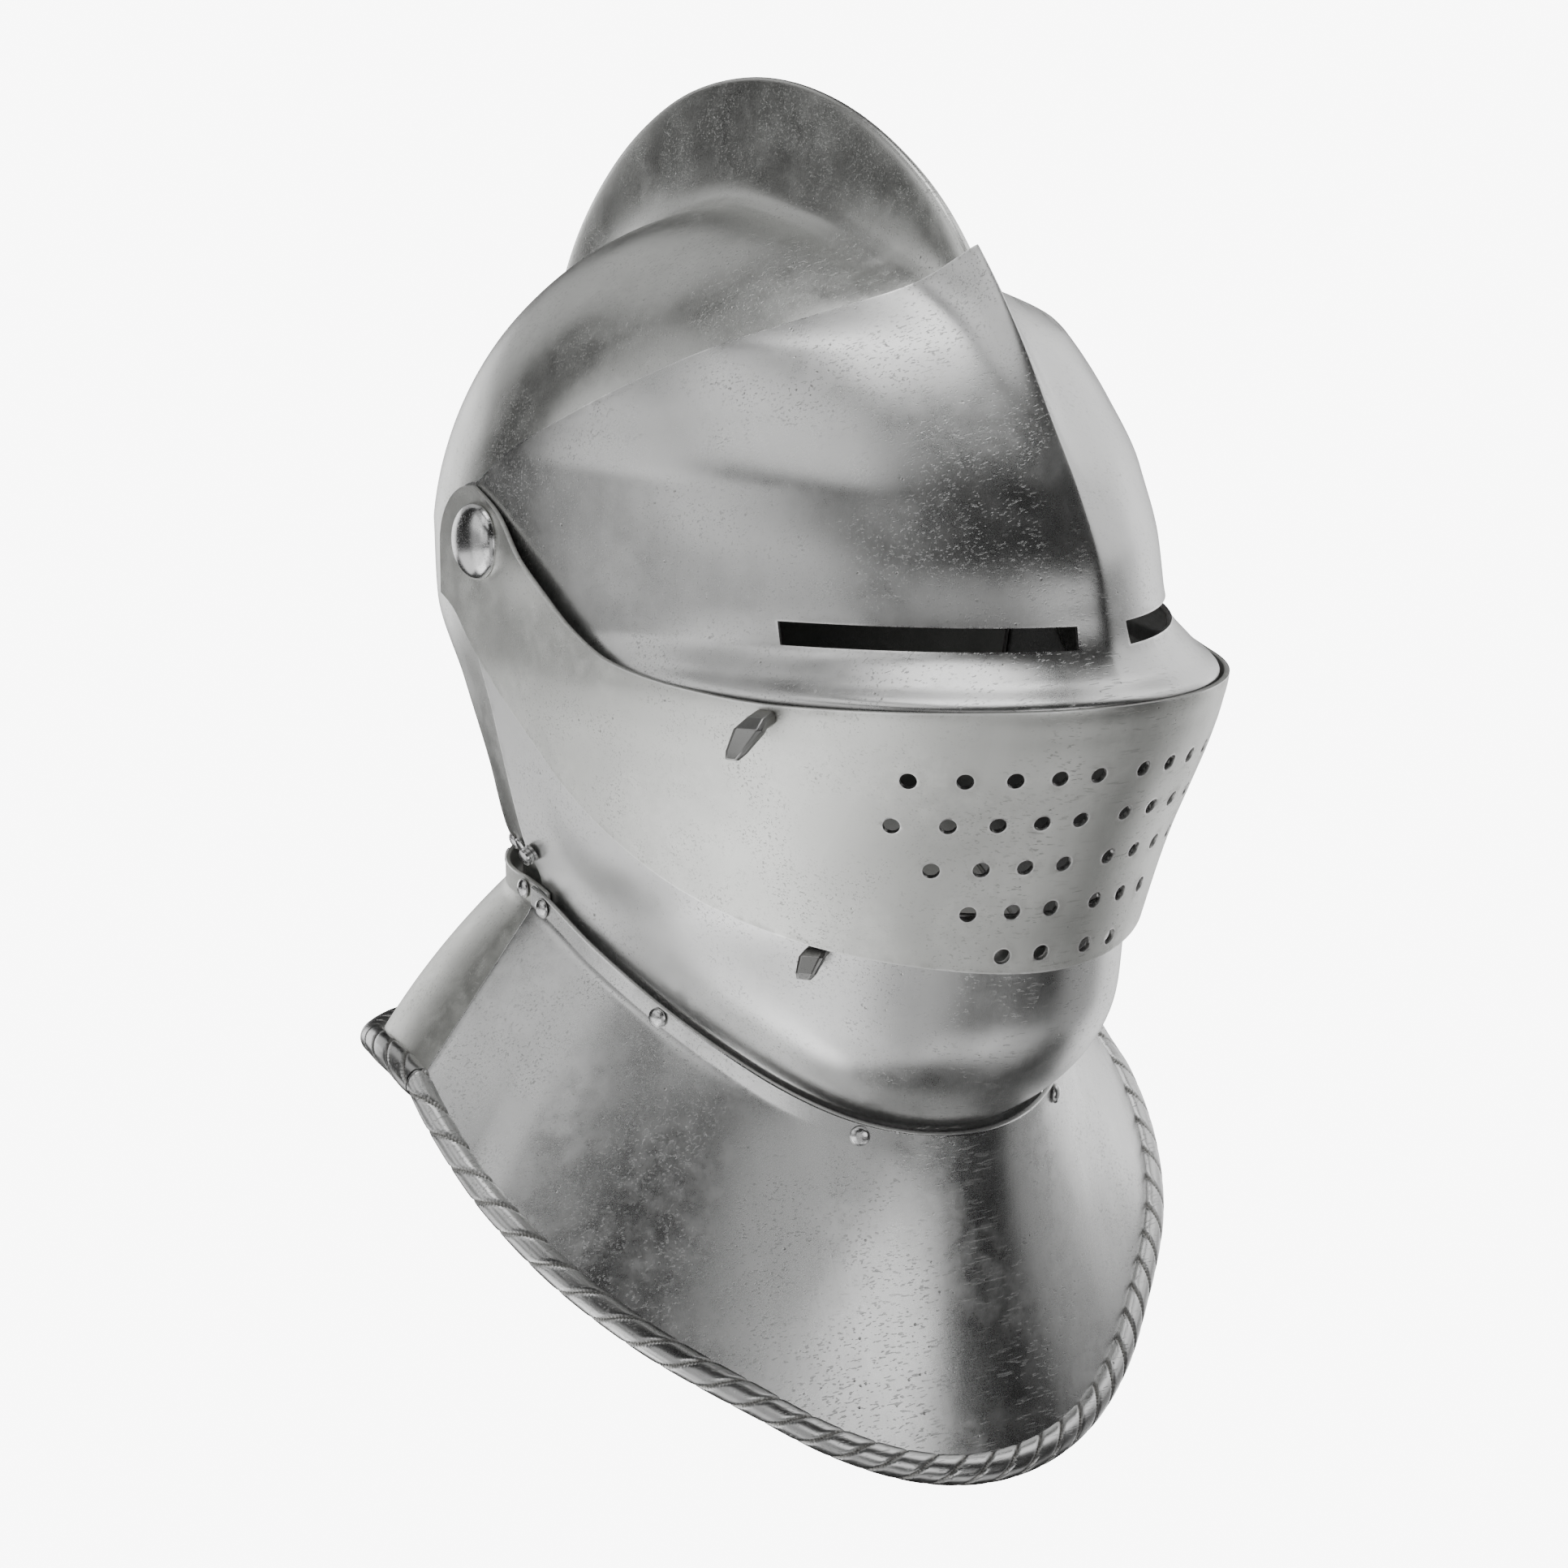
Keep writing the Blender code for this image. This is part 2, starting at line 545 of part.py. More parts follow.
def lower_grid():
    """Grid of the lower bevor's outer face, whose cheeks end at a rear edge of their own.

    Its first row stands behind the collar, and its second one at the collar's upper edge.
    """
    high = side_edge(LOWER_TOP, LOWER_LOBE, 1)
    rows = 8
    columns = [(angle, 0.0) for angle in front_angles(10)] + [(90, k / 5) for k in range(1, 6)]
    half = np.zeros((rows, len(columns), 3))
    for j, (angle, share) in enumerate(columns):
        for i in range(rows):
            z = NECK_Z / 2
            for _ in range(60):
                along = share * (read(LOWER_REAR, 1, z) + LOWER_FLAT)
                point = lower_point((angle, along, 1), z)
                low = neck_edge(point[1])
                rise = (high(point[1]) - low) * max(i - 1, 0) / (rows - 2)
                z = 0.6 * z + 0.4 * (low + rise + (MM if i else -0.8 * COLLAR_H))
            half[i, j] = point
    return np.concatenate((half[:, :0:-1] * (-1, 1, 1), half), axis=1)


def build_lower_bevor():
    """Lower bevor: chin, throat and cheeks, inside the upper bevor and outside the skull."""
    grid = lower_grid()
    bevor = plate("lower_bevor", "grey_steel", grid, grid - PLATE * normals(grid))
    pivot_holes(bevor, LOWER_X)
    return bevor


def ring_point(station, x, front, back, full=2.0):
    """Point in plan of a ring round the neck: an ellipse in front, straight sides, an oval behind."""
    angle, along, side = station
    turn = math.radians(angle)
    across, away = abs(math.sin(turn)), abs(math.cos(turn))
    if angle <= 90:
        return np.array((side * x * across, along - front * away))
    y = CHEEK + (back - CHEEK) * away ** (2 / full)
    return np.array((side * x * across ** (2 / full), y))


def neck_point(station, part, grow, drop):
    """Point beside the neck, grow outside the plate that the collar encloses there."""
    inner_x = NECK_X if part == "rear" else THROAT_X
    x, y = ring_point(station, inner_x + grow, THROAT_FRONT + grow, NECK_BACK + grow, NECK_FULL)
    return np.array((x, y, neck_edge(y) - drop))


def rim_point(station, inset):
    """Centre of the rolled edge."""
    x, y = ring_point(station, RIM_X - inset, RIM_FRONT - inset, RIM_BACK - inset)
    if y < 0:
        return np.array((x, y, RIM_Z + RIM_FALL * y - RIM_BOW * y * y))
    return np.array((x, y, RIM_Z - RIM_DIP * (y / RIM_BACK) ** 2))


def unit(vector):
    """Vector of length 1."""
    return vector / np.linalg.norm(vector)


def outward(station):
    """Horizontal direction out from the neck at a station."""
    angle, _, side = station
    reach = THROAT_FRONT if angle <= 90 else NECK_BACK
    turn = math.radians(angle)
    return unit(np.array((side * math.sin(turn) / NECK_X, -math.cos(turn) / reach, 0.0)))


def gorget_section(station, part, rolled=True):
    """Closed section of a gorget plate: upright collar, flared plate and rolled edge.

    The rear plate stands inside and a little under the front one. Where it is not rolled it ends
    short of the front one's roll.
    """
    inset, drop = (0.0, 0.0) if part == "front" else (GAP + PLATE, REAR_DROP)
    out = outward(station)
    collar_in = neck_point(station, part, COLLAR_OFF, 0.0)
    collar_out = neck_point(station, part, COLLAR_OFF + PLATE, 0.0)
    fall = np.array((0.0, 0.0, COLLAR_H + drop))
    bend = 0.5 * (collar_in + collar_out) - fall
    centre = rim_point(station, inset) - np.array((0.0, 0.0, drop))
    radius = ROLL_R if rolled else 0.6 * PLATE
    way = unit(centre - bend)
    if not rolled:
        centre = centre - way * (ROLL_R + TAIL_SHORT)
    face = unit(out - np.dot(out, way) * way)
    sag = GORGET_SAG * max(0.0, math.cos(math.radians(station[0]))) ** 2
    middle = [bend + (centre - bend) * share - face * sag * 4 * share * (1 - share)
              for share in SAG_SHARES]
    start = math.pi - math.asin(0.5 * PLATE / radius)
    turns = [start - 2 * start * k / 7 for k in range(8)]
    roll = [centre + radius * (way * math.cos(turn) + face * math.sin(turn)) for turn in turns]
    outer = [collar_out, collar_out - fall] + [point + face * 0.5 * PLATE for point in middle]
    inner = [point - face * 0.5 * PLATE for point in reversed(middle)] + [collar_in - fall, collar_in]
    return outer + roll + inner


def swept(name, tint, sections):
    """Closed solid through a run of sections with the same number of points."""
    count = len(sections[0])
    vertices = [point for section in sections for point in section]
    faces = [tuple(reversed(range(count))), tuple(range(len(vertices) - count, len(vertices)))]
    for i in range(len(sections) - 1):
        for k in range(count):
            a, b = i * count + k, i * count + (k + 1) % count
            faces.append((a, b, b + count, a + count))
    return add_object(name, tint, vertices, faces)


def build_gorget():
    """Front and rear gorget plates; the front one laps over a plain tail of the rear one."""
    half = [(90 * k / 13, 0.0) for k in range(14)] + [(90, TAIL)]
    swept("gorget_front", "grey_steel",
          [gorget_section(station, "front") for station in both_sides(half)])
    start = TAIL + 0.7 * MM
    half = [(180 - 10 * k, 0.0) for k in range(9)]
    half += [(90, CHEEK), (90, start), (90, TAIL + 0.2 * MM), (90, -5 * TAIL)]
    swept("gorget_rear", "warm_steel",
          [gorget_section(station, "rear", station[0] > 90 or station[1] >= start)
           for station in both_sides(half)])


def build_band_rivets():
    """Domed rivets round the gorget's collar."""
    for part, angles in (("front", FRONT_RIVETS), ("rear", REAR_RIVETS)):
        for side, word in ((-1, "right"), (1, "left")):
            for number, angle in enumerate(angles):
                station = (angle, 0.0, side)
                place = neck_point(station, part, COLLAR_OFF + PLATE + SEAT, 0.5 * COLLAR_H)
                points, faces = turned(dome(*BAND_HEAD, 2), 8, place, outward(station))
                add_object(f"{part}_rivet_{word}_{number + 1}", "rivet_steel", points, faces)


def build_pivots():
    """Pivots: a domed head outside, a shank through all four plates and a burr inside."""
    stack = UPPER_X - (SKULL_X - PLATE)
    burr = stack + 2 * SEAT
    profile = [(PIVOT_BURR_R, -burr - PLATE), (PIVOT_BURR_R, -burr), (PIVOT_SHANK_R, -burr),
               (PIVOT_SHANK_R, 0.0)] + dome(*PIVOT_HEAD, 4)
    for side, word in ((-1, "right"), (1, "left")):
        points, faces = turned(profile, 14, (side * (UPPER_X + SEAT), 0, 0), (side, 0, 0))
        add_object(f"pivot_{word}", "rivet_steel", points, faces)


def on_face(target, y, z):
    """Where a line along X at y and z meets the outer face on the wearer's right, and its normal."""
    work = bmesh.new()
    work.from_mesh(target.data)
    place, normal, _, _ = BVHTree.FromBMesh(work).ray_cast((-RIM_X, y, z), (1, 0, 0))
    work.free()
    return np.array(place), np.array(normal)


def build_peg(name, target, spot, path, size):
    """Bent, tapering lifting peg; each step of its path is out, back and down from the spot."""
    place, normal = on_face(target, *spot)
    back = unit(np.cross(normal, (0, 0, 1)))
    frame = np.array((normal, back, np.cross(normal, back)))
    points = [place + np.array(step) * MM @ frame for step in path]
    sections = []
    for k, point in enumerate(points):
        way = points[min(k + 1, len(path) - 1)] - points[max(k - 1, 0)]
        deep = unit(np.cross(way, back))
        taper = 1.0 if k < len(points) - 1 else PEG_TAPER
        width, depth = (value * taper / 2 for value in size)
        corners = ((-1, -1), (1, -1), (1, 1), (-1, 1))
        sections.append([point + back * a * width + deep * b * depth for a, b in corners])
    swept(name, "rivet_steel", sections)


def build_studs(lower_bevor, skull):
    """Locking studs on the lower bevor and the nape rivets beside them."""
    stud, flat = ([(radius * MM, height * MM) for radius, height in profile]
                  for profile in (STUD_PROFILE, FLAT_PROFILE))
    heads = (("lock_stud", lower_bevor, STUD_Y, stud), ("nape_rivet_flat", skull, NAPE_Y[0], flat),
             ("nape_rivet_domed", skull, NAPE_Y[1], dome(*NAPE_DOME, 2)))
    for name, target, y, profile in heads:
        place, normal = on_face(target, y, STUD_Z)
        for side, word in ((-1, "right"), (1, "left")):
            mirror = np.array((-side, 1, 1))
            points, faces = turned(profile, 10, (place + normal * 1.3 * SEAT) * mirror,
                                   normal * mirror)
            add_object(f"{name}_{word}", "rivet_steel", points, faces)


# Build
for thing in list(bpy.data.objects):
    bpy.data.objects.remove(thing, do_unlink=True)
skull = build_skull()
build_visor()
upper_bevor = build_upper_bevor()
lower_bevor = build_lower_bevor()
build_gorget()
build_band_rivets()
build_pivots()
build_peg("upper_bevor_peg", upper_bevor, UPPER_PEG, UPPER_PEG_PATH, UPPER_PEG_SIZE)
build_peg("lower_bevor_peg", lower_bevor, LOWER_PEG, LOWER_PEG_PATH, LOWER_PEG_SIZE)
build_studs(lower_bevor, skull)
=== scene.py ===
"""The looks of a close helmet: worn steel plates, rivets, lifting pegs and a roped gorget edge."""
# %% [markdown]
# The helmet is a set of thin steel plates that turn on two pivots beside the ears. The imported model
# gives the plates their places and joints. Here each plate is worked out again from the same numbers
# on a much finer grid, and then given the finish of polished and worn steel.
# All lengths are in millimetres, measured from the pivot axis, until a mesh is made.

import json
import math

import bmesh
import bpy
import numpy as np
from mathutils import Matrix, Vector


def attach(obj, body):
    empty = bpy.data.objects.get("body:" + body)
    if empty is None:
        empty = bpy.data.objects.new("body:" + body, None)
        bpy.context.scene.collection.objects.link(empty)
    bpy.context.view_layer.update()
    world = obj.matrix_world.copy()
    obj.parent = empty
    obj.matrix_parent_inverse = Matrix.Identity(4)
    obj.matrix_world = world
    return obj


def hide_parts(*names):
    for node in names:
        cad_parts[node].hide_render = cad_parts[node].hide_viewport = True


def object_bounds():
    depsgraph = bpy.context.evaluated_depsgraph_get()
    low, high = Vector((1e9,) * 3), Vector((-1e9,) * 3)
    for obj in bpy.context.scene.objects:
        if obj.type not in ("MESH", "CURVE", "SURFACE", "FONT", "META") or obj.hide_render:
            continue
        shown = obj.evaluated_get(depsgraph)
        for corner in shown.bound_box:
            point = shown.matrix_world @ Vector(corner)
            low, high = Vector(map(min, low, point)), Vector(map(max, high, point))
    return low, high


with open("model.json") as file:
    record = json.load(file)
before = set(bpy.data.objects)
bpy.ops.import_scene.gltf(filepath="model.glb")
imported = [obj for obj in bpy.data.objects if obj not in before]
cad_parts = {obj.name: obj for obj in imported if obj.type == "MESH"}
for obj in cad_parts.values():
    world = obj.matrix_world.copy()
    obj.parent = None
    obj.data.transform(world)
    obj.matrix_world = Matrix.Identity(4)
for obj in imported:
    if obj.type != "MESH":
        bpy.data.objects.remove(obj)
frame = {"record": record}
size_before = [list(corner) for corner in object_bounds()]
AXIS_Z = -97.4
print("size of the packed model, mm:", [round(1000 * (b - a)) for a, b in zip(*size_before)])

# %% [markdown]
# A plate's shape is written in short tables: at each height, how far it reaches in front and beside.
# Between two lines of a table the value follows a smooth curve that never swings past either of them,
# so a bulge appears only where the table has one.

# %% Smooth curves through tables
def smooth_curve(xs, ys, x):
    """Curve of cubic pieces through the points (xs, ys), read at x.

    The slope at each point is a weighted harmonic mean of the slopes beside it, and 0 at a peak.
    """
    xs, ys, x = (np.asarray(values, float) for values in (xs, ys, x))
    step = np.diff(xs)
    rise = np.diff(ys) / step
    slope = np.concatenate((rise[:1], np.zeros(len(rise) - 1), rise[-1:]))
    before, after = 2 * step[1:] + step[:-1], step[1:] + 2 * step[:-1]
    bends = rise[:-1] * rise[1:] <= 0
    left, right = np.where(bends, 1.0, rise[:-1]), np.where(bends, 1.0, rise[1:])
    slope[1:-1] = np.where(bends, 0.0, (before + after) / (before / left + after / right))
    x = np.clip(x, xs[0], xs[-1])
    k = np.clip(np.searchsorted(xs, x) - 1, 0, len(step) - 1)
    t = (x - xs[k]) / step[k]
    return ((1 + 2 * t) * (1 - t) ** 2 * ys[k] + t * (1 - t) ** 2 * step[k] * slope[k]
            + t * t * (3 - 2 * t) * ys[k + 1] + t * t * (t - 1) * step[k] * slope[k + 1])


def look_up(table, column, x):
    """Values of one column of a table, read against its first column."""
    rows = np.array(table, float)
    return smooth_curve(rows[:, 0], rows[:, column], x)


def lengths(points, axis):
    """Distance along a grid of points from its first row (axis 0) or first column (axis 1)."""
    steps = np.linalg.norm(np.diff(points, axis=axis), axis=2)
    start = np.zeros_like(np.take(steps, [0], axis=axis))
    return np.concatenate((start, np.cumsum(steps, axis=axis)), axis=axis)


def edge_distance(points):
    """Distance of each grid point from the nearest side of its grid."""
    down, across = lengths(points, 0), lengths(points, 1)
    return np.minimum(np.minimum(down, down[-1:] - down), np.minimum(across, across[:, -1:] - across))


print("curve check:", smooth_curve((0, 1, 2), (0, 1, 1), (0.5, 1.5)).round(3))

# %% [markdown]
# A plate of armour is a sheet of one thickness. Its outer face is a grid of points, its inner face is
# the same grid moved inwards, and narrow walls close the rim and the sides of every opening. The rim
# of a real plate is filed round so that it doesn't cut, so each rim gets a small rounded bevel.
# Two numbers are kept at every point for the finish: how far the rim is, and whether this is inside.
# Small parts and the roped edge keep a third, for painted shade that darkens their grooves and corners.

# %% From grids of points to meshes
PLATE, FAR_FROM_RIM = 1.6, 6.0


def make_object(name, points, faces, marks, bevel=0.35):
    """Mesh object from points in millimetres round the pivot axis; marks are numbers per point."""
    used, faces_used = np.unique(np.concatenate([np.ravel(f) for f in faces]), return_inverse=True)
    ends = np.cumsum([len(f) for f in faces])
    split = [part.tolist() for part in np.split(faces_used, ends[:-1])]
    mesh = bpy.data.meshes.new(name)
    mesh.from_pydata(((points[used] + (0, 0, AXIS_Z)) / 1000).tolist(), [], split)
    for word, values in marks.items():
        layer = mesh.attributes.new(word, "FLOAT", "POINT")
        layer.data.foreach_set("value", np.ascontiguousarray(values[used], np.float32))
    work = bmesh.new()
    work.from_mesh(mesh)
    bmesh.ops.remove_doubles(work, verts=work.verts, dist=0.00001)
    bmesh.ops.dissolve_degenerate(work, edges=work.edges, dist=0.000005)
    bmesh.ops.recalc_face_normals(work, faces=work.faces)
    work.to_mesh(mesh)
    work.free()
    mesh.shade_smooth()
    mesh.set_sharp_from_angle(angle=math.radians(38))
    made = bpy.data.objects.new(name, mesh)
    bpy.context.scene.collection.objects.link(made)
    if bevel:
        step = made.modifiers.new("filed rim", "BEVEL")
        step.width = bevel / 1000
        step.segments = 2
        step.limit_method = "ANGLE"
        step.angle_limit = math.radians(50)
    return made


def plate_faces(kept, rows, count):
    """Quads of both faces of a plate and of the walls round its kept cells."""
    i, j = np.nonzero(kept)
    first = i * count + j
    corners = np.stack((first, first + 1, first + count + 1, first + count), 1)
    shift = rows * count
    sheets = [corners, corners[:, ::-1] + shift]
    ring = np.pad(kept, 1)
    for side, (down, right) in enumerate(((-1, 0), (0, 1), (1, 0), (0, -1))):
        bare = ~ring[i + 1 + down, j + 1 + right]
        a, b = corners[bare, side], corners[bare, (side + 1) % 4]
        sheets.append(np.stack((b, a, a + shift, b + shift), 1))
    return np.concatenate(sheets)


def tube_faces(rings, sides):
    """Quads of a tube of rings, and then a flat cap at each end."""
    low = np.arange(rings - 1)[:, None] * sides + np.arange(sides)
    nxt = np.arange(rings - 1)[:, None] * sides + (np.arange(sides) + 1) % sides
    quads = np.stack((low, nxt, nxt + sides, low + sides), -1).reshape(-1, 4).tolist()
    return quads + [list(range(sides)), list(range((rings - 1) * sides, rings * sides))]


def outward_normals(points, middle=(0, 0, -40)):
    """Unit normals of a grid, turned away from the middle of the helmet."""
    normal = np.cross(np.gradient(points, axis=0), np.gradient(points, axis=1))
    normal /= np.maximum(np.linalg.norm(normal, axis=2, keepdims=True), 1e-9)
    return normal * np.sign(np.median(np.sum(normal * (points - np.array(middle)), axis=2)))


def plate(name, outer, inner=None, kept=None, near=None, bevel=0.35):
    """Plate from the grid of its outer face; near is a distance to other edges, such as a sight's."""
    if inner is None:
        inner = outer - PLATE * outward_normals(outer)
    rows, count = outer.shape[:2]
    kept = np.ones((rows - 1, count - 1), bool) if kept is None else kept
    rim = edge_distance(outer) if near is None else np.minimum(edge_distance(outer), near)
    points = np.concatenate((outer.reshape(-1, 3), inner.reshape(-1, 3)))
    inside = np.repeat((0.0, 1.0), rows * count)
    return make_object(name, points, plate_faces(kept, rows, count),
                       {"rim": np.tile(rim.ravel(), 2), "inside": inside}, bevel)


def mirrored(half):
    """Whole grid from its left half, whose first column stands on the centre line."""
    return np.concatenate((half[:, :0:-1] * (-1, 1, 1), half), axis=1)


def loose_marks(painted_shade):
    """Marks of a piece with no plate's rim: far from any rim, outside, and with this much painted shade."""
    painted_shade = np.ravel(painted_shade)
    return {"rim": np.full(len(painted_shade), FAR_FROM_RIM), "inside": 0 * painted_shade, "painted_shade": painted_shade}


print("plate thickness, mm:", PLATE)

# %% [markdown]
# Seen from above, every plate round the face is an oval in front that runs into a straight cheek
# beside the pivots. Its edges are drawn from the side, where an armourer would draw them too, and each
# column of points is stretched between the two edges. The cheeks end in round lobes at the pivots.

# %% Plates round the face
VISOR = (
    (-43, 175.6, 0.984, 2.10, 0.0), (-37.5, 179.4, 0.986, 2.10, 0.2), (-34, 180.4, 0.988, 2.10, 0.3),
    (-28, 174.0, 0.996, 1.92, 0.4), (-20, 169.0, 1.000, 1.72, 0.5), (-10, 166.5, 1.000, 1.67, 0.6),
    (3.5, 163.0, 1.000, 1.67, 1.0), (22.5, 153.0, 1.000, 1.65, 2.0), (41.5, 138.0, 0.945, 1.65, 4.6),
    (60.5, 120.0, 0.845, 1.65, 9.5), (78.5, 98.0, 0.680, 1.42, 15.6), (96, 74.0, 0.520, 1.35, 20.6),
)
UPPER = (
    (-125, 147.5, 0.800, 2), (-110.5, 152.0, 0.838, 2), (-96.5, 156.0, 0.880, 2),
    (-83.5, 161.0, 0.912, 2), (-69.5, 168.0, 0.946, 2), (-54.5, 176.0, 0.972, 2),
    (-43.5, 180.5, 0.990, 2), (-34, 183.2, 0.998, 2), (-20, 182.0, 1.000, 2), (30, 160.0, 1.000, 2),
)
LOWER = (
    (-192, 128.0, 0.826, 2), (-173.5, 134.0, 0.826, 2), (-160, 138.0, 0.826, 2),
    (-146, 141.5, 0.826, 2), (-130, 144.5, 0.826, 2), (-109, 147.6, 0.826, 2),
    (-95, 151.0, 0.884, 2), (-75, 152.0, 0.932, 2), (-50, 152.0, 0.968, 2),
    (-25, 152.0, 0.995, 2), (0, 150.0, 1.000, 2), (30, 150.0, 1.000, 2),
)
VISOR_TOP = ((-104, 86.5), (-95, 78.2), (-86, 70.9), (-64, 57.6), (-35, 40.4), (-20, 31.8), (3, 17.5))
VISOR_LOW = ((-185, -40.5), (-120, -41.0), (-96, -39.5), (-66, -36.0), (-48, -28.5), (-30, -19.0),
             (-12, -15.0), (3, -15.5))
UPPER_TOP = ((-185, -34.0), (-124, -34.6), (-96, -32.7), (-66, -28.0), (-48, -20.0), (-27.5, -4.5),
             (-9.6, 10.3), (3, 16.5))
UPPER_LOW = ((-155, -119.0), (-145, -115.5), (-114, -107.8), (-83.5, -97.5), (-51, -80.0),
             (-18, -53.5), (6, -31.5), (16, -21.5), (30, -15.0))
LOWER_TOP = ((-155, -102.0), (-114, -92.0), (-83.5, -80.0), (-51, -58.0), (-28, -36.0), (-20, -22.0),
             (-14, -6.0), (-10, 5.0), (-5, 12.5), (2, 15.5))
LOWER_REAR = ((-130, 0.5), (-112, 0.8), (-82, 2.0), (-57, 5.5), (-37, 10.6), (-15, 15.5), (0, 17.5),
              (20, 17.5))
NECK_EDGE = ((-118, -175.5), (-104, -167.8), (-89, -158.2), (-74.5, -148.6), (-54.5, -136.6),
             (-30, -123.0), (0, -109.0), (10, -107.3), (80, -107.0))
SKULL_X, LOWER_X, VISOR_X, UPPER_X = 97.4, 99.45, 101.5, 103.55
THROAT_X, THROAT_FRONT, THROAT_REACH = 0.826 * 99.45, 112.0, 42.0
VISOR_FLAT, UPPER_FLAT, LOWER_FLAT = 12.0, 30.0, 28.0


def plan(angle, along, z, table, width, flat):
    """Point of a plate's section at height z: x = half sin(a)^(2/p), y = -flat - reach cos(a)^(2/p).

    p is the section's fullness, and along is a distance back along the straight cheek.
    """
    power = 2 / look_up(table, 3, z)
    front, half = look_up(table, 1, z), look_up(table, 2, z) * width
    turn = np.radians(angle)
    y = -flat - (front - flat) * np.maximum(np.cos(turn), 0) ** power + along
    return np.stack(np.broadcast_arrays(half * np.sin(turn) ** power, y, z), -1)


def side_edge(table, lobe, sign):
    """Height of an edge at y: its table, and behind it the round end of the lobe."""
    behind, above, radius = lobe

    def height(y):
        arc = above + sign * radius * np.sqrt(np.maximum(0, 1 - ((y - behind) / radius) ** 2))
        line = look_up(table, 1, y)
        return np.where(y < behind, line, arc if sign > 0 else np.minimum(arc, line))
    return height


def cheek(flat, lobe, count):
    """Distances back along the cheek, closer together towards the round end of the lobe."""
    return (flat + lobe[0] + lobe[2]) * np.sin(math.pi / 2 * np.arange(1, count + 1) / count)


def settled(edge, angle, along, table, width, flat):
    """Height at which each column meets an edge, found by halving the error again and again."""
    z = np.zeros(len(angle))
    for _ in range(60):
        z = 0.5 * (z + edge(plan(angle, along, z, table, width, flat)[:, 1]))
    return z


UPPER_LOBE = (3.0, -3.0, 19.5)
angle = np.concatenate((90 * np.linspace(0, 1, 110) ** 1.1, np.full(34, 90.0)))
along = np.concatenate((np.zeros(110), cheek(UPPER_FLAT, UPPER_LOBE, 34)))
bottom = settled(side_edge(UPPER_LOW, UPPER_LOBE, -1), angle, along, UPPER, UPPER_X, UPPER_FLAT)
top = settled(side_edge(UPPER_TOP, UPPER_LOBE, 1), angle, along, UPPER, UPPER_X, UPPER_FLAT)
share = np.linspace(0, 1, 90)[:, None]
upper_grid = plan(angle, along, bottom + (top - bottom) * share, UPPER, UPPER_X, UPPER_FLAT)
BULGE, BULGE_Y, BULGE_Z, BULGE_LONG, BULGE_TALL = 1.9, -26, -2, 15, 12
away = ((upper_grid[..., 1] - BULGE_Y) / BULGE_LONG) ** 2 + ((upper_grid[..., 2] - BULGE_Z) / BULGE_TALL) ** 2
upper_grid[..., 0] += BULGE * np.exp(-away)
upper_grid = mirrored(upper_grid)
print("upper bevor grid:", upper_grid.shape[:2])

# %% [markdown]
# The breath holes stand in five rows, with fewer holes in each lower row. On a real bevor they are
# punched from outside and filed clean. Here they are cut by small round bars set square to the plate.

# %% Upper bevor and its breath holes
def upper_spot(x, z):
    """Point and outward normal of the upper bevor's outer face at x and z."""
    def at(across, height):
        share = np.abs(across) / (look_up(UPPER, 2, height) * UPPER_X)
        point = plan(np.degrees(np.arcsin(share)), 0.0, height, UPPER, UPPER_X, UPPER_FLAT)
        return point * np.stack((np.sign(across), np.ones_like(across), np.ones_like(across)), -1)
    step = 0.4
    normal = np.cross(at(x + step, z) - at(x - step, z), at(x, z + step) - at(x, z - step))
    return at(x, z), normal / np.linalg.norm(normal, axis=-1, keepdims=True)


HOLE_R, HOLE_SIDES, HOLES_IN_ROW = 2.5, 28, (5, 5, 4, 3, 2)
FIRST_X, STEP_X, FIRST_Z, STEP_Z = 8.3, 12.1, -54.5, 14.0
hole_x = np.concatenate([FIRST_X + STEP_X * np.arange(count) for count in HOLES_IN_ROW])
hole_z = np.concatenate([np.full(count, FIRST_Z - STEP_Z * row) for row, count in enumerate(HOLES_IN_ROW)])
hole_x, hole_z = np.concatenate((hole_x, -hole_x)), np.tile(hole_z, 2)
hole_at, hole_way = upper_spot(hole_x, hole_z)


def bars(places, ways, radius, reach, sides):
    """Round bars through the given places: rings of points at both ends of each bar."""
    across = np.cross(ways, (0, 0, 1.0))
    across /= np.linalg.norm(across, axis=1, keepdims=True)
    up = np.cross(across, ways)
    turn = 2 * math.pi * np.arange(sides) / sides
    ring = radius * (across[:, None] * np.cos(turn)[:, None] + up[:, None] * np.sin(turn)[:, None])
    ends = [places[:, None] + ring + ways[:, None] * far for far in (-reach, reach)]
    points = np.stack(ends, 1).reshape(-1, 3)
    faces = []
    for k in range(len(places)):
        low = 2 * sides * k + np.arange(sides)
        faces += [low[::-1].tolist(), (low + sides).tolist()]
        faces += np.stack((low, np.roll(low, -1), np.roll(low, -1) + sides, low + sides), 1).tolist()
    return points, faces


def cut(target, points, faces):
    """Cuts shapes out of a piece and keeps the result as the piece's own mesh."""
    tool = make_object("cutter", points, faces, {}, 0)
    step = target.modifiers.new("holes", "BOOLEAN")
    step.operation, step.solver, step.object = "DIFFERENCE", "EXACT", tool
    bevels = [m for m in target.modifiers if m.type == "BEVEL"]
    for bevel in bevels:
        bevel.show_viewport = False
    bpy.context.view_layer.update()
    done = target.evaluated_get(bpy.context.evaluated_depsgraph_get())
    mesh = bpy.data.meshes.new_from_object(done)
    target.modifiers.remove(step)
    old, target.data = target.data, mesh
    bpy.data.meshes.remove(old)
    bpy.data.objects.remove(tool)
    for bevel in bevels:
        bevel.show_viewport = True


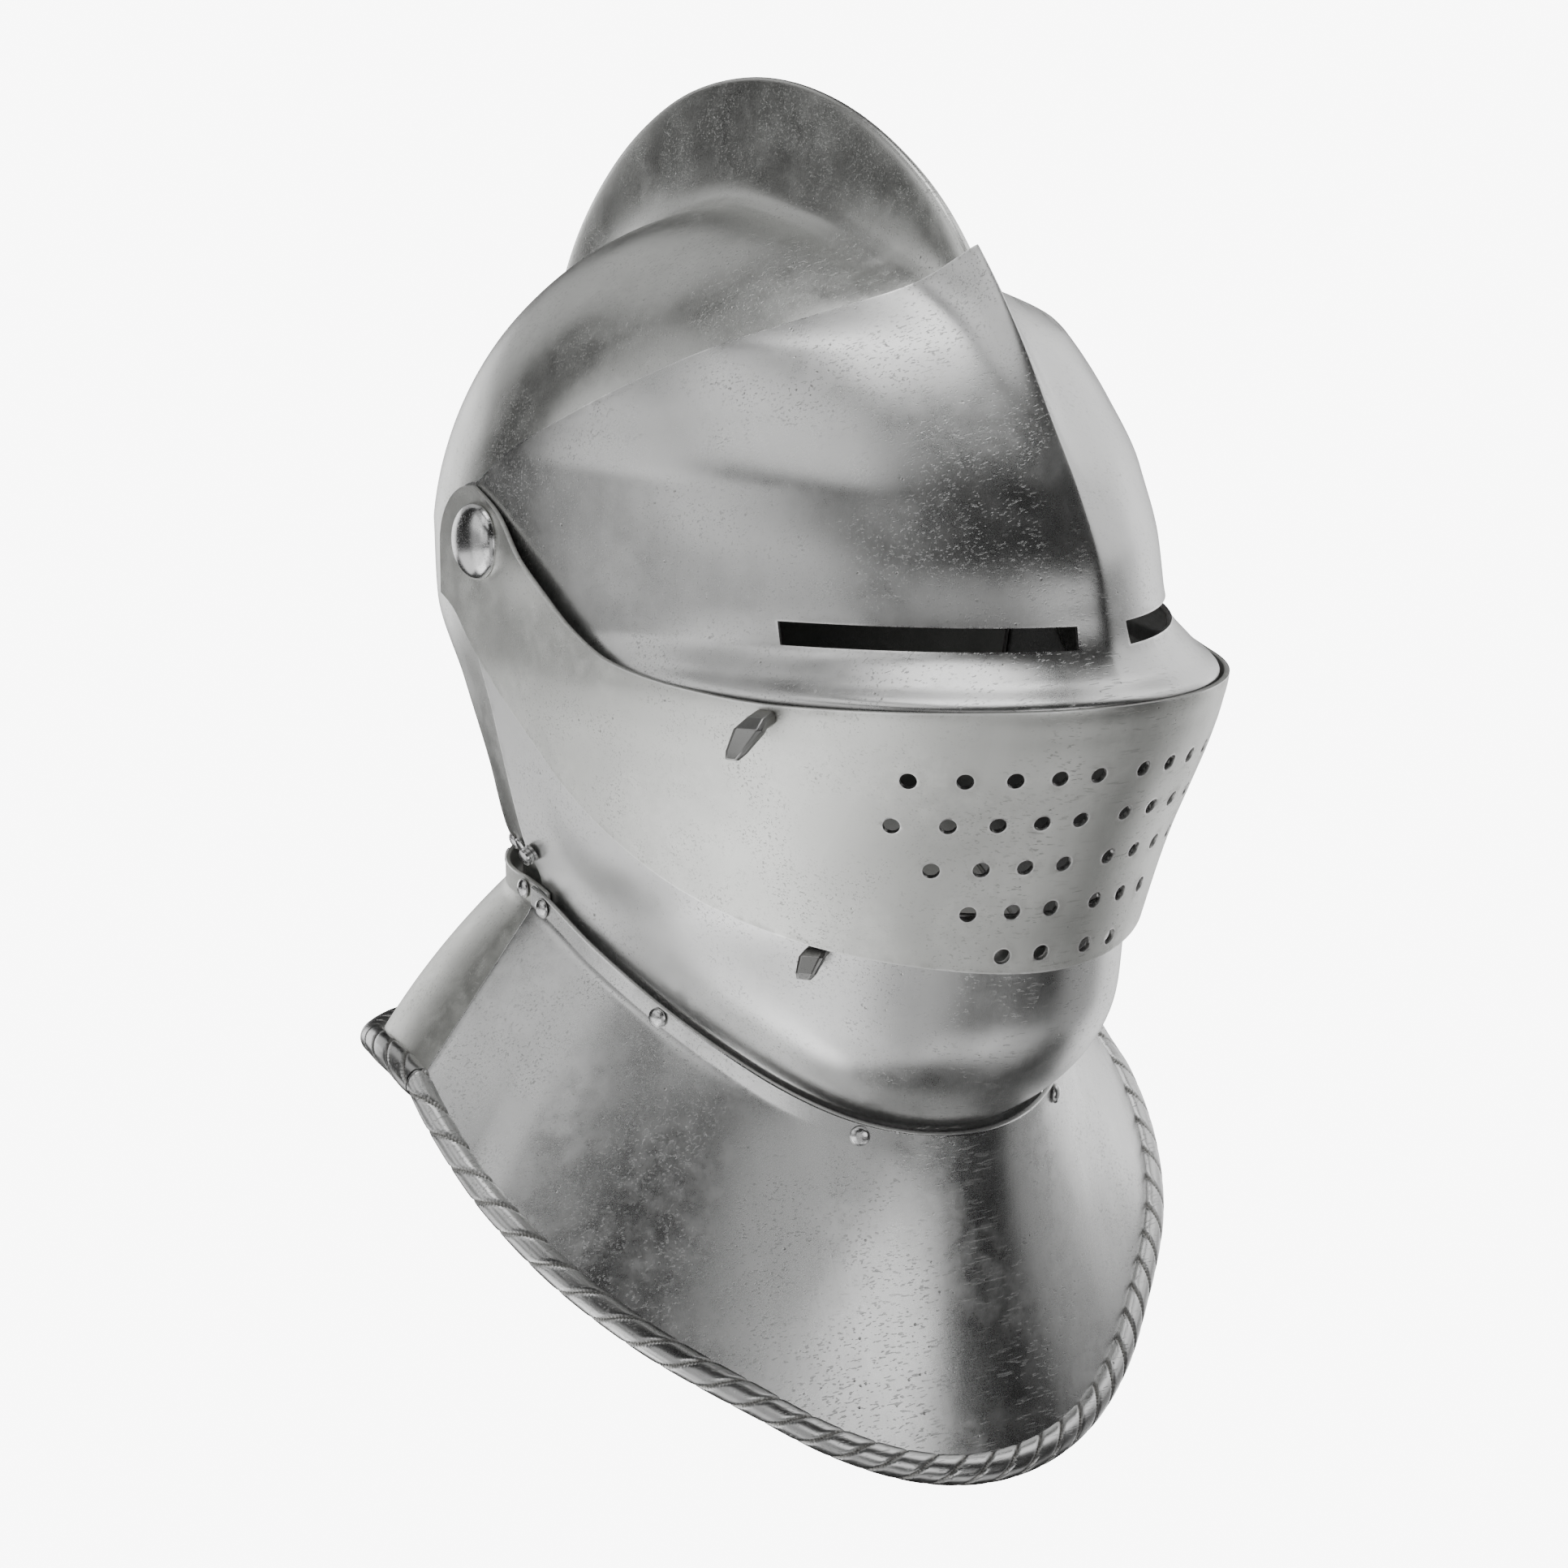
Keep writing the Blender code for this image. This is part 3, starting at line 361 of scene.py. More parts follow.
away = np.linalg.norm(upper_grid[:, :, None] - hole_at, axis=3).min(axis=2) - HOLE_R
upper_bevor = plate("upper_bevor_steel", upper_grid, near=np.maximum(away, 0))
BAR_REACH = 7.0
cut(upper_bevor, *bars(hole_at, hole_way, HOLE_R, BAR_REACH, HOLE_SIDES))
print("breath holes:", len(hole_x), " faces:", len(upper_bevor.data.polygons))

# %% [markdown]
# The visor is one plate with a sharp keel down its middle, a flared shelf below the sights and two
# long sights. The keel is raised outwards from the pivots, so that its flanks stay hollow: its height
# falls off as exp(-(distance / width)^1.5) on either side.

# %% Visor with its keel and sights
VISOR_LOBE = (3.0, 1.0, 16.5)
SIGHT_TOP, SIGHT_LOW = -13.5, -20.0
SIGHT_ENDS = (9.0, 71.0)
KEEL_WIDTH, KEEL_HOLLOW = 7.5, 1.5
# Columns up to the sight's inner end, along the sight, beside it and round the lobe
MIDDLE, SIGHT_LONG, BESIDE, LOBE = 22, 76, 26, 30
# Rows below the sight, across it and above it
BELOW, SIGHT_TALL, ABOVE = 22, 6, 84
half = float(look_up(VISOR, 2, SIGHT_TOP)) * VISOR_X
power = float(look_up(VISOR, 3, SIGHT_TOP)) / 2
first, last = (math.degrees(math.asin((end / half) ** power)) for end in SIGHT_ENDS)
angle = np.concatenate((np.linspace(0, first, MIDDLE)[:-1], np.linspace(first, last, SIGHT_LONG)[:-1],
                        np.linspace(last, 90, BESIDE), np.full(LOBE, 90.0)))
along = np.concatenate((np.zeros(len(angle) - LOBE), cheek(VISOR_FLAT, VISOR_LOBE, LOBE)))
bottom = settled(side_edge(VISOR_LOW, VISOR_LOBE, -1), angle, along, VISOR, VISOR_X, VISOR_FLAT)
top = settled(side_edge(VISOR_TOP, VISOR_LOBE, 1), angle, along, VISOR, VISOR_X, VISOR_FLAT)
low = np.maximum(SIGHT_LOW, bottom + 0.17 * (top - bottom))
high = low + np.minimum(SIGHT_TOP - SIGHT_LOW, 0.25 * (top - bottom))
levels = np.concatenate((bottom + (low - bottom) * np.linspace(0, 1, BELOW)[:-1, None],
                         low + (high - low) * np.linspace(0, 1, SIGHT_TALL)[:-1, None],
                         high + (top - high) * np.linspace(0, 1, ABOVE)[:, None]))
visor_half = plan(angle, along, levels, VISOR, VISOR_X, VISOR_FLAT)
keel = look_up(VISOR, 4, visor_half[..., 2]) * np.exp(-(visor_half[..., 0] / KEEL_WIDTH) ** KEEL_HOLLOW)
reach = np.hypot(visor_half[..., 1], visor_half[..., 2])
visor_half[..., 1:] *= (1 + keel / reach)[..., None]
visor_grid = mirrored(visor_half)
across = np.maximum(SIGHT_ENDS[0] - np.abs(visor_grid[..., 0]), np.abs(visor_grid[..., 0]) - SIGHT_ENDS[1])
level = np.concatenate((levels[:, :0:-1], levels), 1)
low_whole, high_whole = (np.concatenate((line[:0:-1], line)) for line in (low, high))
updown = np.maximum(low_whole - level, level - high_whole)
sight_gap = np.hypot(np.maximum(across, 0), np.maximum(updown, 0))
kept = np.ones((visor_grid.shape[0] - 1, visor_grid.shape[1] - 1), bool)
centre, near_end, far_end = len(angle) - 1, MIDDLE - 1, MIDDLE + SIGHT_LONG - 2
across_sight = slice(BELOW - 1, BELOW + SIGHT_TALL - 2)
kept[across_sight, centre + near_end:centre + far_end] = False
kept[across_sight, centre - far_end:centre - near_end] = False
visor = plate("visor_steel", visor_grid, kept=kept, near=sight_gap)
print("sights from", SIGHT_ENDS[0], "to", SIGHT_ENDS[1], "mm off the centre line")

# %% [markdown]
# The lower bevor closes under the chin. Its bowl is drawn in to the throat, so each section is scaled
# towards the neck's ellipse by a share that grows with the square of how close the collar is. The
# grid is then smoothed a little, as the last light hammering smooths a real plate.

# %% Lower bevor
def neck_edge(y):
    """Height of the collar's upper edge at y."""
    return look_up(NECK_EDGE, 1, y)


def lower_points(angle, along, z):
    """Points of the lower bevor: the plan section times 1 + (ring - 1) share^2."""
    point = plan(angle, along, z, LOWER, LOWER_X, LOWER_FLAT)
    ring = 1 / np.maximum(np.hypot(point[..., 0] / THROAT_X, point[..., 1] / THROAT_FRONT), 1e-6)
    scale = ring.copy()
    for _ in range(5):
        above = z - neck_edge(point[..., 1] * scale)
        scale = 1 + (ring - 1) * np.clip(1 - above / THROAT_REACH, 0, 1) ** 2
    fade = np.clip(-point[..., 1] / 30, 0, 1)
    scale = 1 + (scale - 1) * fade * fade * (3 - 2 * fade)
    return np.stack((point[..., 0] * scale, point[..., 1] * scale, point[..., 2]), -1)


LOWER_LOBE = (2.0, 0.0, 15.5)
angle = np.concatenate((90 * np.linspace(0, 1, 90) ** 1.1, np.full(30, 90.0)))
share = np.concatenate((np.zeros(90), np.arange(1, 31) / 30))
high_edge = side_edge(LOWER_TOP, LOWER_LOBE, 1)
climb = np.concatenate((np.zeros(6), np.linspace(0, 1, 100)))[:, None]
sunk = np.concatenate((np.linspace(-6.0, 0.5, 6), np.ones(100)))[:, None]
z = np.full((len(climb), len(angle)), -56.0)
for _ in range(140):
    along = share * (look_up(LOWER_REAR, 1, z) + LOWER_FLAT)
    point = lower_points(angle, along, z)
    low = neck_edge(point[..., 1])
    z = 0.6 * z + 0.4 * (low + (high_edge(point[..., 1]) - low) * climb + sunk)
lower_grid = mirrored(point)
SMOOTHINGS = 60
for _ in range(SMOOTHINGS):
    around = lower_grid[:-2, 1:-1] + lower_grid[2:, 1:-1] + lower_grid[1:-1, :-2] + lower_grid[1:-1, 2:]
    lower_grid[7:-1, 1:-1] = 0.5 * lower_grid[7:-1, 1:-1] + 0.125 * around[6:]
lower_bevor = plate("lower_bevor_steel", lower_grid)
print("lower bevor grid:", point.shape[:2])

# %% [markdown]
# The skull is raised from one sheet, comb and all, which is the hardest piece of an armourer's work.
# Above the pivots it is a fan of rays from the pivot axis, and below them a stack of levels. Across
# each row the section is an oval with the thin comb standing on it.

# %% Skull with its comb
CROWN_R, SKULL_FLAT, NECK_X, NECK_BACK, NECK_Z = 99.0, 12.0, 80.0, 71.5, -112.0
SKULL_RAYS = (
    (30, 1.270, 136.0, 1.62), (38, 1.225, 136.5, 1.64), (48, 1.130, 137.0, 1.74),
    (60, 1.060, 136.5, 1.82), (74, 1.012, 136.3, 1.86), (90, 1.000, 136.6, 1.88),
    (104, 0.990, 136.6, 1.88), (118, 0.990, 135.5, 1.88), (130, 0.998, 134.0, 1.88),
    (142, 1.012, 132.4, 1.88), (155, 1.040, 129.0, 1.88), (168, 1.085, 124.0, 1.88),
    (180, 1.135, 119.0, 1.88),
)
NAPE = (
    (-120, 0.990, 1.000, 1.85), (-108, 1.000, 1.000, 1.85), (-95, 1.095, 1.066, 1.80),
    (-75, 1.195, 1.120, 1.75), (-50, 1.373, 1.172, 1.80), (-25, 1.560, 1.206, 1.93),
    (0, 1.5716, 1.2175, 1.88),
)
COMB = (
    (1.00, 0.0, 0.0), (0.997, 0.75, 0.2), (0.985, 1.4, 0.5), (0.90, 2.2, 1.0), (0.50, 3.4, 1.9),
    (0.22, 5.6, 3.9), (0.06, 9.3, 7.7), (0.00, 14.0, 12.3),
)
FOOT = (-14.0, -3.0)


def skull_face(inset):
    """Grid of the skull's outer face (inset 0) or inner face (inset PLATE), from comb to cheek."""
    rays = np.concatenate((np.linspace(30, 180, 120), np.full(56, 180.0)))[:, None]
    z = np.concatenate((np.zeros(120), np.linspace(-2, -119, 56)))[:, None]
    level = z / NECK_Z
    above = z == 0
    radius = np.where(above, look_up(SKULL_RAYS, 1, rays) * CROWN_R, look_up(NAPE, 1, z) * NECK_BACK)
    crest = np.where(above, look_up(SKULL_RAYS, 2, rays) - radius,
                     (119.0 - 1.5716 * NECK_BACK) * np.maximum(0, 1 - 2 * level))
    power = np.where(above, look_up(SKULL_RAYS, 3, rays), look_up(NAPE, 3, z))
    half = np.where(above, SKULL_X, look_up(NAPE, 2, z) * NECK_X) - inset
    radius = radius - inset
    flat = SKULL_FLAT * np.maximum(0, 1 - level)
    comb = np.array(COMB)
    chord = np.concatenate(([0], np.cumsum(np.hypot(37 * np.diff(comb[:, 0]), np.diff(comb[:, 1])))))
    at = chord[-1] * np.linspace(0, 1, 36) ** 1.15
    up = smooth_curve(chord, comb[:, 0], at)[None]
    x = smooth_curve(chord, comb[:, 1 if inset == 0 else 2], at)[None]
    body = flat + (radius - flat) * (1 - (x / half) ** power) ** (1 / power)
    comb_far = body + np.maximum(crest * up - inset * np.clip(up * 1.5 - 0.25, 0, 0.5), 0)
    first = np.arcsin((x[:, -1:] / half) ** (power / 2))
    turn = first + (math.pi / 2 - first) * np.linspace(0, 1, 53)[None, 1:]
    side_x = half * np.sin(turn) ** (2 / power)
    side_far = flat + (radius - flat) * np.maximum(np.cos(turn), 0) ** (2 / power)
    far = np.concatenate((comb_far, side_far), 1)
    wide = np.concatenate((x + 0 * half, side_x), 1)
    way_y, way_z = -np.cos(np.radians(rays)), np.sin(np.radians(rays))
    grid = np.stack(np.broadcast_arrays(wide, far * way_y, far * way_z + z), -1)
    share = np.linspace(0, 1, 17)[None, 1:]
    front = FOOT[0] + level * 7.0
    cheek_y = np.where(above, way_y * flat * (1 - share) + FOOT[0] * share, flat + (front - flat) * share)
    cheek_z = np.where(above, way_z * flat * (1 - share) + FOOT[1] * share, z)
    flank = np.stack(np.broadcast_arrays(half, cheek_y, cheek_z), -1)
    return mirrored(np.concatenate((grid, flank), 1))


skull = plate("skull_steel", skull_face(0.0), skull_face(PLATE))
print("crest above the pivots, mm:", round(float(skull_face(0.0)[:, :, 2].max()), 1))

# %% [markdown]
# The gorget is a low upright collar with a plate flaring out of its foot, in a front and a rear half.
# Each half is one section carried round the neck. The plate sags a little between the collar and its
# edge in front, as sheet steel does when it is hammered out over a stake, and bows out a little behind.

# %% Gorget plates
COLLAR_OFF, COLLAR_H, TAIL, CHEEK = 2.5, 7.5, 1.0, 5.0
RIM_X, RIM_FRONT, RIM_BACK, RIM_Z = 131.5, 130.0, 118.0, -164.0
RIM_FALL, RIM_BOW, RIM_DIP, ROLL_R = 0.72, 0.00102, 14.0, 4.6
REAR_IN, REAR_DROP, SAG, REAR_BOW = 2.05, 1.2, 4.0, 2.4
# Distance back, and how far the rolled edge is drawn in and raised there
RIM_SHIFT = ((-130, 0.2, -0.9), (-118, 2.8, 1.8), (-105, 4.3, 3.7), (-80, 2.3, 1.6), (-60, 1.8, -0.6),
             (-40, 2.5, -2.3), (-24, 4.3, -4.2), (-10, 4.7, -3.6), (4, 4.6, -0.8), (18, 5.2, 2.3),
             (38, 5.4, 3.4), (58, 4.6, 1.9), (78, 3.0, 0.6), (100, 0.6, 0.2), (118, 0, 0))


def ring(station, x, front, back, full):
    """Ring round the neck in plan: an ellipse in front, straight sides, and an oval behind."""
    angle, along, side = station
    turn = np.radians(angle)
    across, away = np.abs(np.sin(turn)), np.where(angle == 90, 0, np.abs(np.cos(turn)))
    ahead = angle <= 90
    px = side * x * np.where(ahead, across, across ** (2 / full))
    py = np.where(ahead, along - front * away, CHEEK + (back - CHEEK) * away ** (2 / full))
    return px, py


def rim_line(station, inset, drop=0.0):
    """Centre of the rolled edge: it falls steeply in front and gently behind, and then RIM_SHIFT."""
    x, y = ring(station, RIM_X - inset, RIM_FRONT - inset, RIM_BACK - inset, 2.0)
    z = np.where(y < 0, RIM_Z + RIM_FALL * y - RIM_BOW * y * y, RIM_Z - RIM_DIP * (y / RIM_BACK) ** 2)
    turn = np.radians(station[0])
    drawn, raised = look_up(RIM_SHIFT, 1, y), look_up(RIM_SHIFT, 2, y)
    x, y = x - drawn * station[2] * np.sin(turn), y + drawn * np.cos(turn)
    return np.stack((x, y, z + raised - drop), -1)


def neck_line(station, part, grow):
    """Line of the collar's upper edge, grow outside the plate that it encloses."""
    inner_x = NECK_X if part == "rear" else THROAT_X
    x, y = ring(station, inner_x + grow, THROAT_FRONT + grow, NECK_BACK + grow, 1.85)
    return np.stack((x, y, neck_edge(y)), -1)


def unit(vectors):
    """Vectors of length 1."""
    return vectors / np.maximum(np.linalg.norm(vectors, axis=-1, keepdims=True), 1e-9)


def outward(station):
    """Horizontal directions out from the neck."""
    angle, _, side = station
    turn = np.radians(angle)
    reach = np.where(angle <= 90, THROAT_FRONT, NECK_BACK)
    return unit(np.stack((side * np.sin(turn) / NECK_X, -np.cos(turn) / reach, 0 * turn), -1))


def flare(station, part):
    """Collar foot, centre of the rolled edge, and the directions along and square to the plate."""
    inset, drop = (0.0, 0.0) if part == "front" else (REAR_IN, REAR_DROP)
    inner, outer = (neck_line(station, part, grow) for grow in (COLLAR_OFF, COLLAR_OFF + PLATE))
    foot = 0.5 * (inner + outer) - (0, 0, COLLAR_H + drop)
    centre = rim_line(station, inset, drop)
    way = unit(centre - foot)
    out = outward(station)
    face = unit(out - np.sum(out * way, -1, keepdims=True) * way)
    return inner, outer, foot, centre, way, face, drop


def gorget_plate(name, station, part):
    """Gorget half: both faces go down the collar and out along the plate to the rolled edge."""
    inner, outer, foot, centre, way, face, drop = flare(station, part)
    dip = SAG * np.maximum(0, np.cos(np.radians(station[0]))) ** 2
    sag = dip - REAR_BOW * np.clip((station[0] - 92) / 20, 0, 1)
    share = np.linspace(0, 1, 64)[:, None, None] ** 0.9
    middle = foot + (centre - foot) * share - face * sag[:, None] * 4 * share * (1 - share)
    down = np.linspace(0, 1, 9)[:-1, None, None] * np.array((0, 0, COLLAR_H + drop))
    sheets = [np.concatenate((edge - down, middle[1:] + face * half_plate))
              for edge, half_plate in ((outer, 0.5 * PLATE), (inner, -0.5 * PLATE))]
    return plate(name, sheets[0], sheets[1])


def whole(angle, along):
    """Stations of both sides of the helmet from those of its left side."""
    side = np.concatenate((-np.ones(len(angle) - 1), np.ones(len(angle))))
    return np.concatenate((angle[:0:-1], angle)), np.concatenate((along[:0:-1], along)), side


front_station = whole(np.append(np.linspace(0, 90, 170), 90.0), np.append(np.zeros(170), TAIL))
rear_angle = np.concatenate((np.linspace(180, 90.5, 110), np.full(8, 90.0)))
rear_along = np.concatenate((np.zeros(110), np.linspace(CHEEK, -5.0, 8)))
rear_station = whole(rear_angle, rear_along)
gorget_front = gorget_plate("gorget_front_steel", front_station, "front")
gorget_rear = gorget_plate("gorget_rear_steel", rear_station, "rear")
print("gorget stations:", len(front_station[0]), "and", len(rear_station[0]))

# %% [markdown]
# The edge of the gorget is turned over a wire and then filed to look like twisted rope. Each groove
# winds round the roll once in three pitches, and the pitch grows from about 10 mm at the chin to
# 14 mm at the shoulder. The depth of a groove is a narrow bell curve of the distance from its middle,
# and a wider and very shallow one rounds the strands beside it.
# The roll of the rear plate carries on in line with the front one's, as one rope.

# %% Roped edge
PITCH, GROWTH, SLANT, SQUARE_SHARE = 9.6, 0.02, 1.5, 0.62
GROOVE_DEEP, GROOVE_HALF, PAINTED_SHADE_HALF = 0.75, 0.36, 0.42
HOLLOW_DEEP, HOLLOW_HALF = 0.08, 0.9


def roped_edge(name, station, part, shift, stations):
    """Tube round the rolled edge: radius less grooves that follow a helix."""
    angle, along, side = station
    dense = rim_line(station, 0.0)
    run = np.concatenate(([0], np.cumsum(np.linalg.norm(np.diff(dense, axis=0), axis=1))))
    at = np.linspace(0, run[-1], stations)
    angle, along, side = (np.interp(at, run, values) for values in (angle, along, side))
    side = np.where(side < 0, -1.0, 1.0)
    way, face = flare((angle, along, side), part)[4:6]
    share = np.clip((angle - 90) / 25, 0, 1)
    centre = rim_line((angle, along, side), 0.0)
    from_front = at - 0.5 * run[-1]
    count = np.sign(from_front) * np.log1p(GROWTH * np.abs(from_front) / PITCH) / GROWTH
    turn = np.linspace(0, 2 * math.pi, 41)[:-1]
    phase = -count[:, None] - SLANT * turn[None] / math.pi + shift
    pitch = (PITCH + GROWTH * np.abs(from_front))[:, None]
    off = (phase - np.round(phase)) * pitch * SQUARE_SHARE
    groove = GROOVE_DEEP * np.exp(-(off / GROOVE_HALF) ** 2)
    groove = groove + HOLLOW_DEEP * np.exp(-(off / HOLLOW_HALF) ** 2)
    radius = (ROLL_R + 0.15 - 0.5 * share)[:, None] - groove
    wheel = way[:, None] * -np.cos(turn)[:, None] + face[:, None] * np.sin(turn)[:, None]
    points = centre[:, None] + wheel * radius[..., None]
    # Painted shade: a dark line along the middle of each groove, weaker on the rear roll.
    painted_shade = (1.1 - 0.5 * share)[:, None] * np.exp(-(off / PAINTED_SHADE_HALF) ** 2)
    return make_object(name, points.reshape(-1, 3), tube_faces(*points.shape[:2]), loose_marks(painted_shade), 0)


rope_angle, rope_along = np.append(np.linspace(0, 90, 400), 90.0), np.append(np.zeros(400), TAIL)
front_rope = roped_edge("gorget_front_rope", whole(rope_angle, rope_along), "front", 0.45, 1500)
rope_angle = np.concatenate((np.linspace(180, 90.2, 400), np.full(5, 90.0)))
rope_along = np.concatenate((np.zeros(400), np.linspace(CHEEK, TAIL + 0.7, 5)))
rear_rope = roped_edge("gorget_rear_rope", whole(rope_angle, rope_along), "rear", 0.1, 1100)
print("rope faces:", len(front_rope.data.polygons), "and", len(rear_rope.data.polygons))

# %% [markdown]
# Rivet heads, the pivots and the locking studs are all turned shapes: a short profile of radius and
# height spun round its own axis. A real head is domed by a hollow punch, so it is round to its rim.

# %% Rivets, pivots and studs
def turned(name, profile, place, way, sides=40):
    """Closed shape of a profile of (radius, height) pairs spun round a direction."""
    way = unit(np.asarray(way, float))
    across = unit(np.cross(way, (0.0, 1.0, 0.0) if abs(way[1]) < 0.9 else (1.0, 0.0, 0.0)))
    up = np.cross(way, across)
    turn = 2 * math.pi * np.arange(sides) / sides
    spokes = across * np.cos(turn)[:, None] + up * np.sin(turn)[:, None]
    profile = np.asarray(profile, float)
    points = np.asarray(place) + way * profile[:, 1, None, None] + spokes * profile[:, 0, None, None]
    # Painted shade round the foot of the head, where it meets the plate.
    painted_shade = 0.6 * np.exp(-np.clip(np.repeat(profile[:, 1], sides), 0, None) / 0.25)
    return make_object(name, points.reshape(-1, 3), tube_faces(len(profile), sides), loose_marks(painted_shade), 0)


def dome(radius, height, rings=12, lip=0.25):
    """Profile of a domed head with a small rounded lip at its foot."""
    turn = np.radians(np.linspace(0, 88, rings))
    cap = np.stack((radius * np.cos(turn), lip + (height - lip) * np.sin(turn)), 1)
    return np.concatenate(([(radius - 0.3, 0.0), (radius - 0.05, 0.5 * lip)], cap))


SEAT = 0.3
small_parts = []
for part, angles in (("front", (26, 62, 87)), ("rear", (93, 128, 155))):
    for side, word in ((-1, "right"), (1, "left")):
        for number, degrees in enumerate(angles):
            at = (np.array([float(degrees)]), np.zeros(1), np.array([float(side)]))
            place = neck_line(at, part, COLLAR_OFF + PLATE + SEAT)[0] - (0, 0, 0.5 * COLLAR_H)
            node = f"{part}_rivet_{word}_{number + 1}"
            small_parts.append((turned(node + "_steel", dome(3.1, 1.7), place, outward(at)[0]), node))
stack = UPPER_X - (SKULL_X - PLATE)
shank = [(0.5, -stack - 2.2), (6.6, -stack - 2.2), (7.0, -stack - 1.8), (7.0, -stack - 0.6),
         (3.5, -stack - 0.6), (3.5, 0.0)]
turn = np.radians(np.linspace(0, 88, 24))
head = [(11.1, 0.0), (11.45, 0.15)] + list(zip(11.6 * np.cos(turn), 0.35 + 5.1 * np.sin(turn)))
for side, word in ((-1, "right"), (1, "left")):
    made = turned(f"pivot_{word}_steel", shank + head, (side * (UPPER_X + SEAT), 0, 0), (side, 0, 0), 64)
    small_parts.append((made, f"pivot_{word}"))
stud = [(2.7, 0.0), (2.9, 0.2), (2.9, 0.9), (2.35, 1.1), (2.35, 1.4), (2.9, 1.6), (2.9, 2.3), (2.4, 2.5),
        (2.4, 2.7), (2.7, 2.9), (2.6, 3.4), (1.8, 3.6), (0.3, 3.65)]
flat_head = [(2.6, 0.0), (2.8, 0.2), (2.8, 0.8), (2.4, 1.15), (1.2, 1.25), (0.2, 1.3)]
STUD_Z = -97.5


def lower_side(y):
    """Point and outward normal of the lower bevor's cheek at y and the studs' height."""
    x = [plan(90.0, y + LOWER_FLAT, z, LOWER, LOWER_X, LOWER_FLAT)[0] for z in (STUD_Z - 1, STUD_Z + 1)]
    return np.array((sum(x) / 2, y, STUD_Z)), unit(np.array((2.0, 0.0, x[0] - x[1])))


def skull_side(y):
    """Point and outward normal of the skull's cheek at y and the studs' height."""
    def half_at(away, z):
        half = float(look_up(NAPE, 2, z)) * NECK_X
        flat = SKULL_FLAT * (1 - z / NECK_Z)
        reach = float(look_up(NAPE, 1, z)) * NECK_BACK - flat
        power = float(look_up(NAPE, 3, z))
        return half * (1 - max(0.0, (away - flat) / reach) ** power) ** (1 / power)
    x = half_at(y, STUD_Z)
    tilt = (1.0, half_at(y - 1, STUD_Z) - x, half_at(y, STUD_Z - 1) - x)
    return np.array((x, y, STUD_Z)), unit(np.array(tilt))


for node, spot, profile in (("lock_stud", lower_side(-2.0), stud),
                            ("nape_rivet_flat", skull_side(8.8), flat_head),
                            ("nape_rivet_domed", skull_side(15.5), dome(2.9, 1.6))):
    for side, word in ((-1, "right"), (1, "left")):
        flip = np.array((side, 1, 1))
        made = turned(f"{node}_{word}_steel", profile, (spot[0] + spot[1] * 0.3) * flip, spot[1] * flip)
        small_parts.append((made, f"{node}_{word}"))
print("turned pieces:", len(small_parts))

# %% [markdown]
# Two small pegs on the wearer's right let a gloved finger lift the plates. Each is a bar forged flat,
# bent over, widened at the bend and filed to a blunt point. Its section is an oblong with filed-off
# corners, and the file has left its faces flat, so only a few sections are needed.

# %% Lifting pegs
def peg(name, place, normal, rows):
    """Bar through sections; each row is a step out, back and down, then a width and a depth."""
    back = unit(np.cross(normal, (0.0, 0.0, 1.0)))
    axes = np.array((normal, back, np.cross(normal, back)))
    rows = np.array(rows, float)
    line = rows[:, :3] @ axes + place
    ahead = unit(np.gradient(line, axis=0))
    deep = unit(np.cross(ahead, back))
    wide = np.array((1, 1, 0.72, -0.72, -1, -1, -0.72, 0.72)) / 2
    thick = np.array((-0.55, 0.55, 1, 1, 0.55, -0.55, -1, -1)) / 2
    points = (line[:, None] + back * (rows[:, 3, None] * wide)[..., None]
              + deep[:, None] * (rows[:, 4, None] * thick)[..., None])
    # Painted shade at the foot of the peg, fading along the bar.
    marks = loose_marks(np.repeat(np.exp(-rows[:, 0] / 1.6), len(wide)))
    made = make_object(name, points.reshape(-1, 3), tube_faces(len(rows), len(wide)), marks, 0.25)
    made.modifiers[0].angle_limit = math.radians(20)
    made.data.set_sharp_from_angle(angle=math.radians(12))
    return made


def cheek_spot(y, z, table, width, flat):
    """Point and outward normal of a plate on the wearer's right at y and z."""
    turns = np.linspace(30, 90, 2001)
    found = turns[np.argmin(np.abs(plan(turns, 0.0, z, table, width, flat)[:, 1] - y))]
    at = [plan(found + a, 0.0, z + b, table, width, flat) for a, b in ((0, 0), (0.5, 0), (0, 0.5))]
    normal = unit(np.cross(at[1] - at[0], at[2] - at[0]))
    flip = np.array((-1, 1, 1))
    return at[0] * flip, normal * np.sign(normal[0]) * flip


UPPER_PEG_Z, LOWER_PEG_Z = -38.0, -110.0
place, normal = cheek_spot(-120.0, UPPER_PEG_Z, UPPER, UPPER_X, UPPER_FLAT)
upper_peg = peg("upper_bevor_peg_steel", place, normal, (
    (0.2, 0.0, 0.0, 6.4, 4.2), (5.4, 0.3, 0.4, 6.8, 4.0), (8.2, 1.2, 1.8, 9.0, 3.6),
    (10.8, 4.2, 7.4, 6.2, 2.8), (11.8, 5.2, 9.4, 4.0, 1.6)))
place, normal = cheek_spot(-112.0, LOWER_PEG_Z, LOWER, LOWER_X, LOWER_FLAT)
lower_peg = peg("lower_bevor_peg_steel", place, normal, (
    (0.2, 0.0, 0.0, 6.2, 3.4), (3.6, 0.2, 0.3, 6.6, 3.2), (5.4, 0.6, 1.2, 7.6, 3.0),
    (7.4, 1.8, 5.4, 6.0, 2.4), (8.0, 2.3, 7.0, 4.2, 1.4)))
small_parts += [(upper_peg, "upper_bevor_peg"), (lower_peg, "lower_bevor_peg")]
print("pegs at heights, mm:", UPPER_PEG_Z, "and", LOWER_PEG_Z)
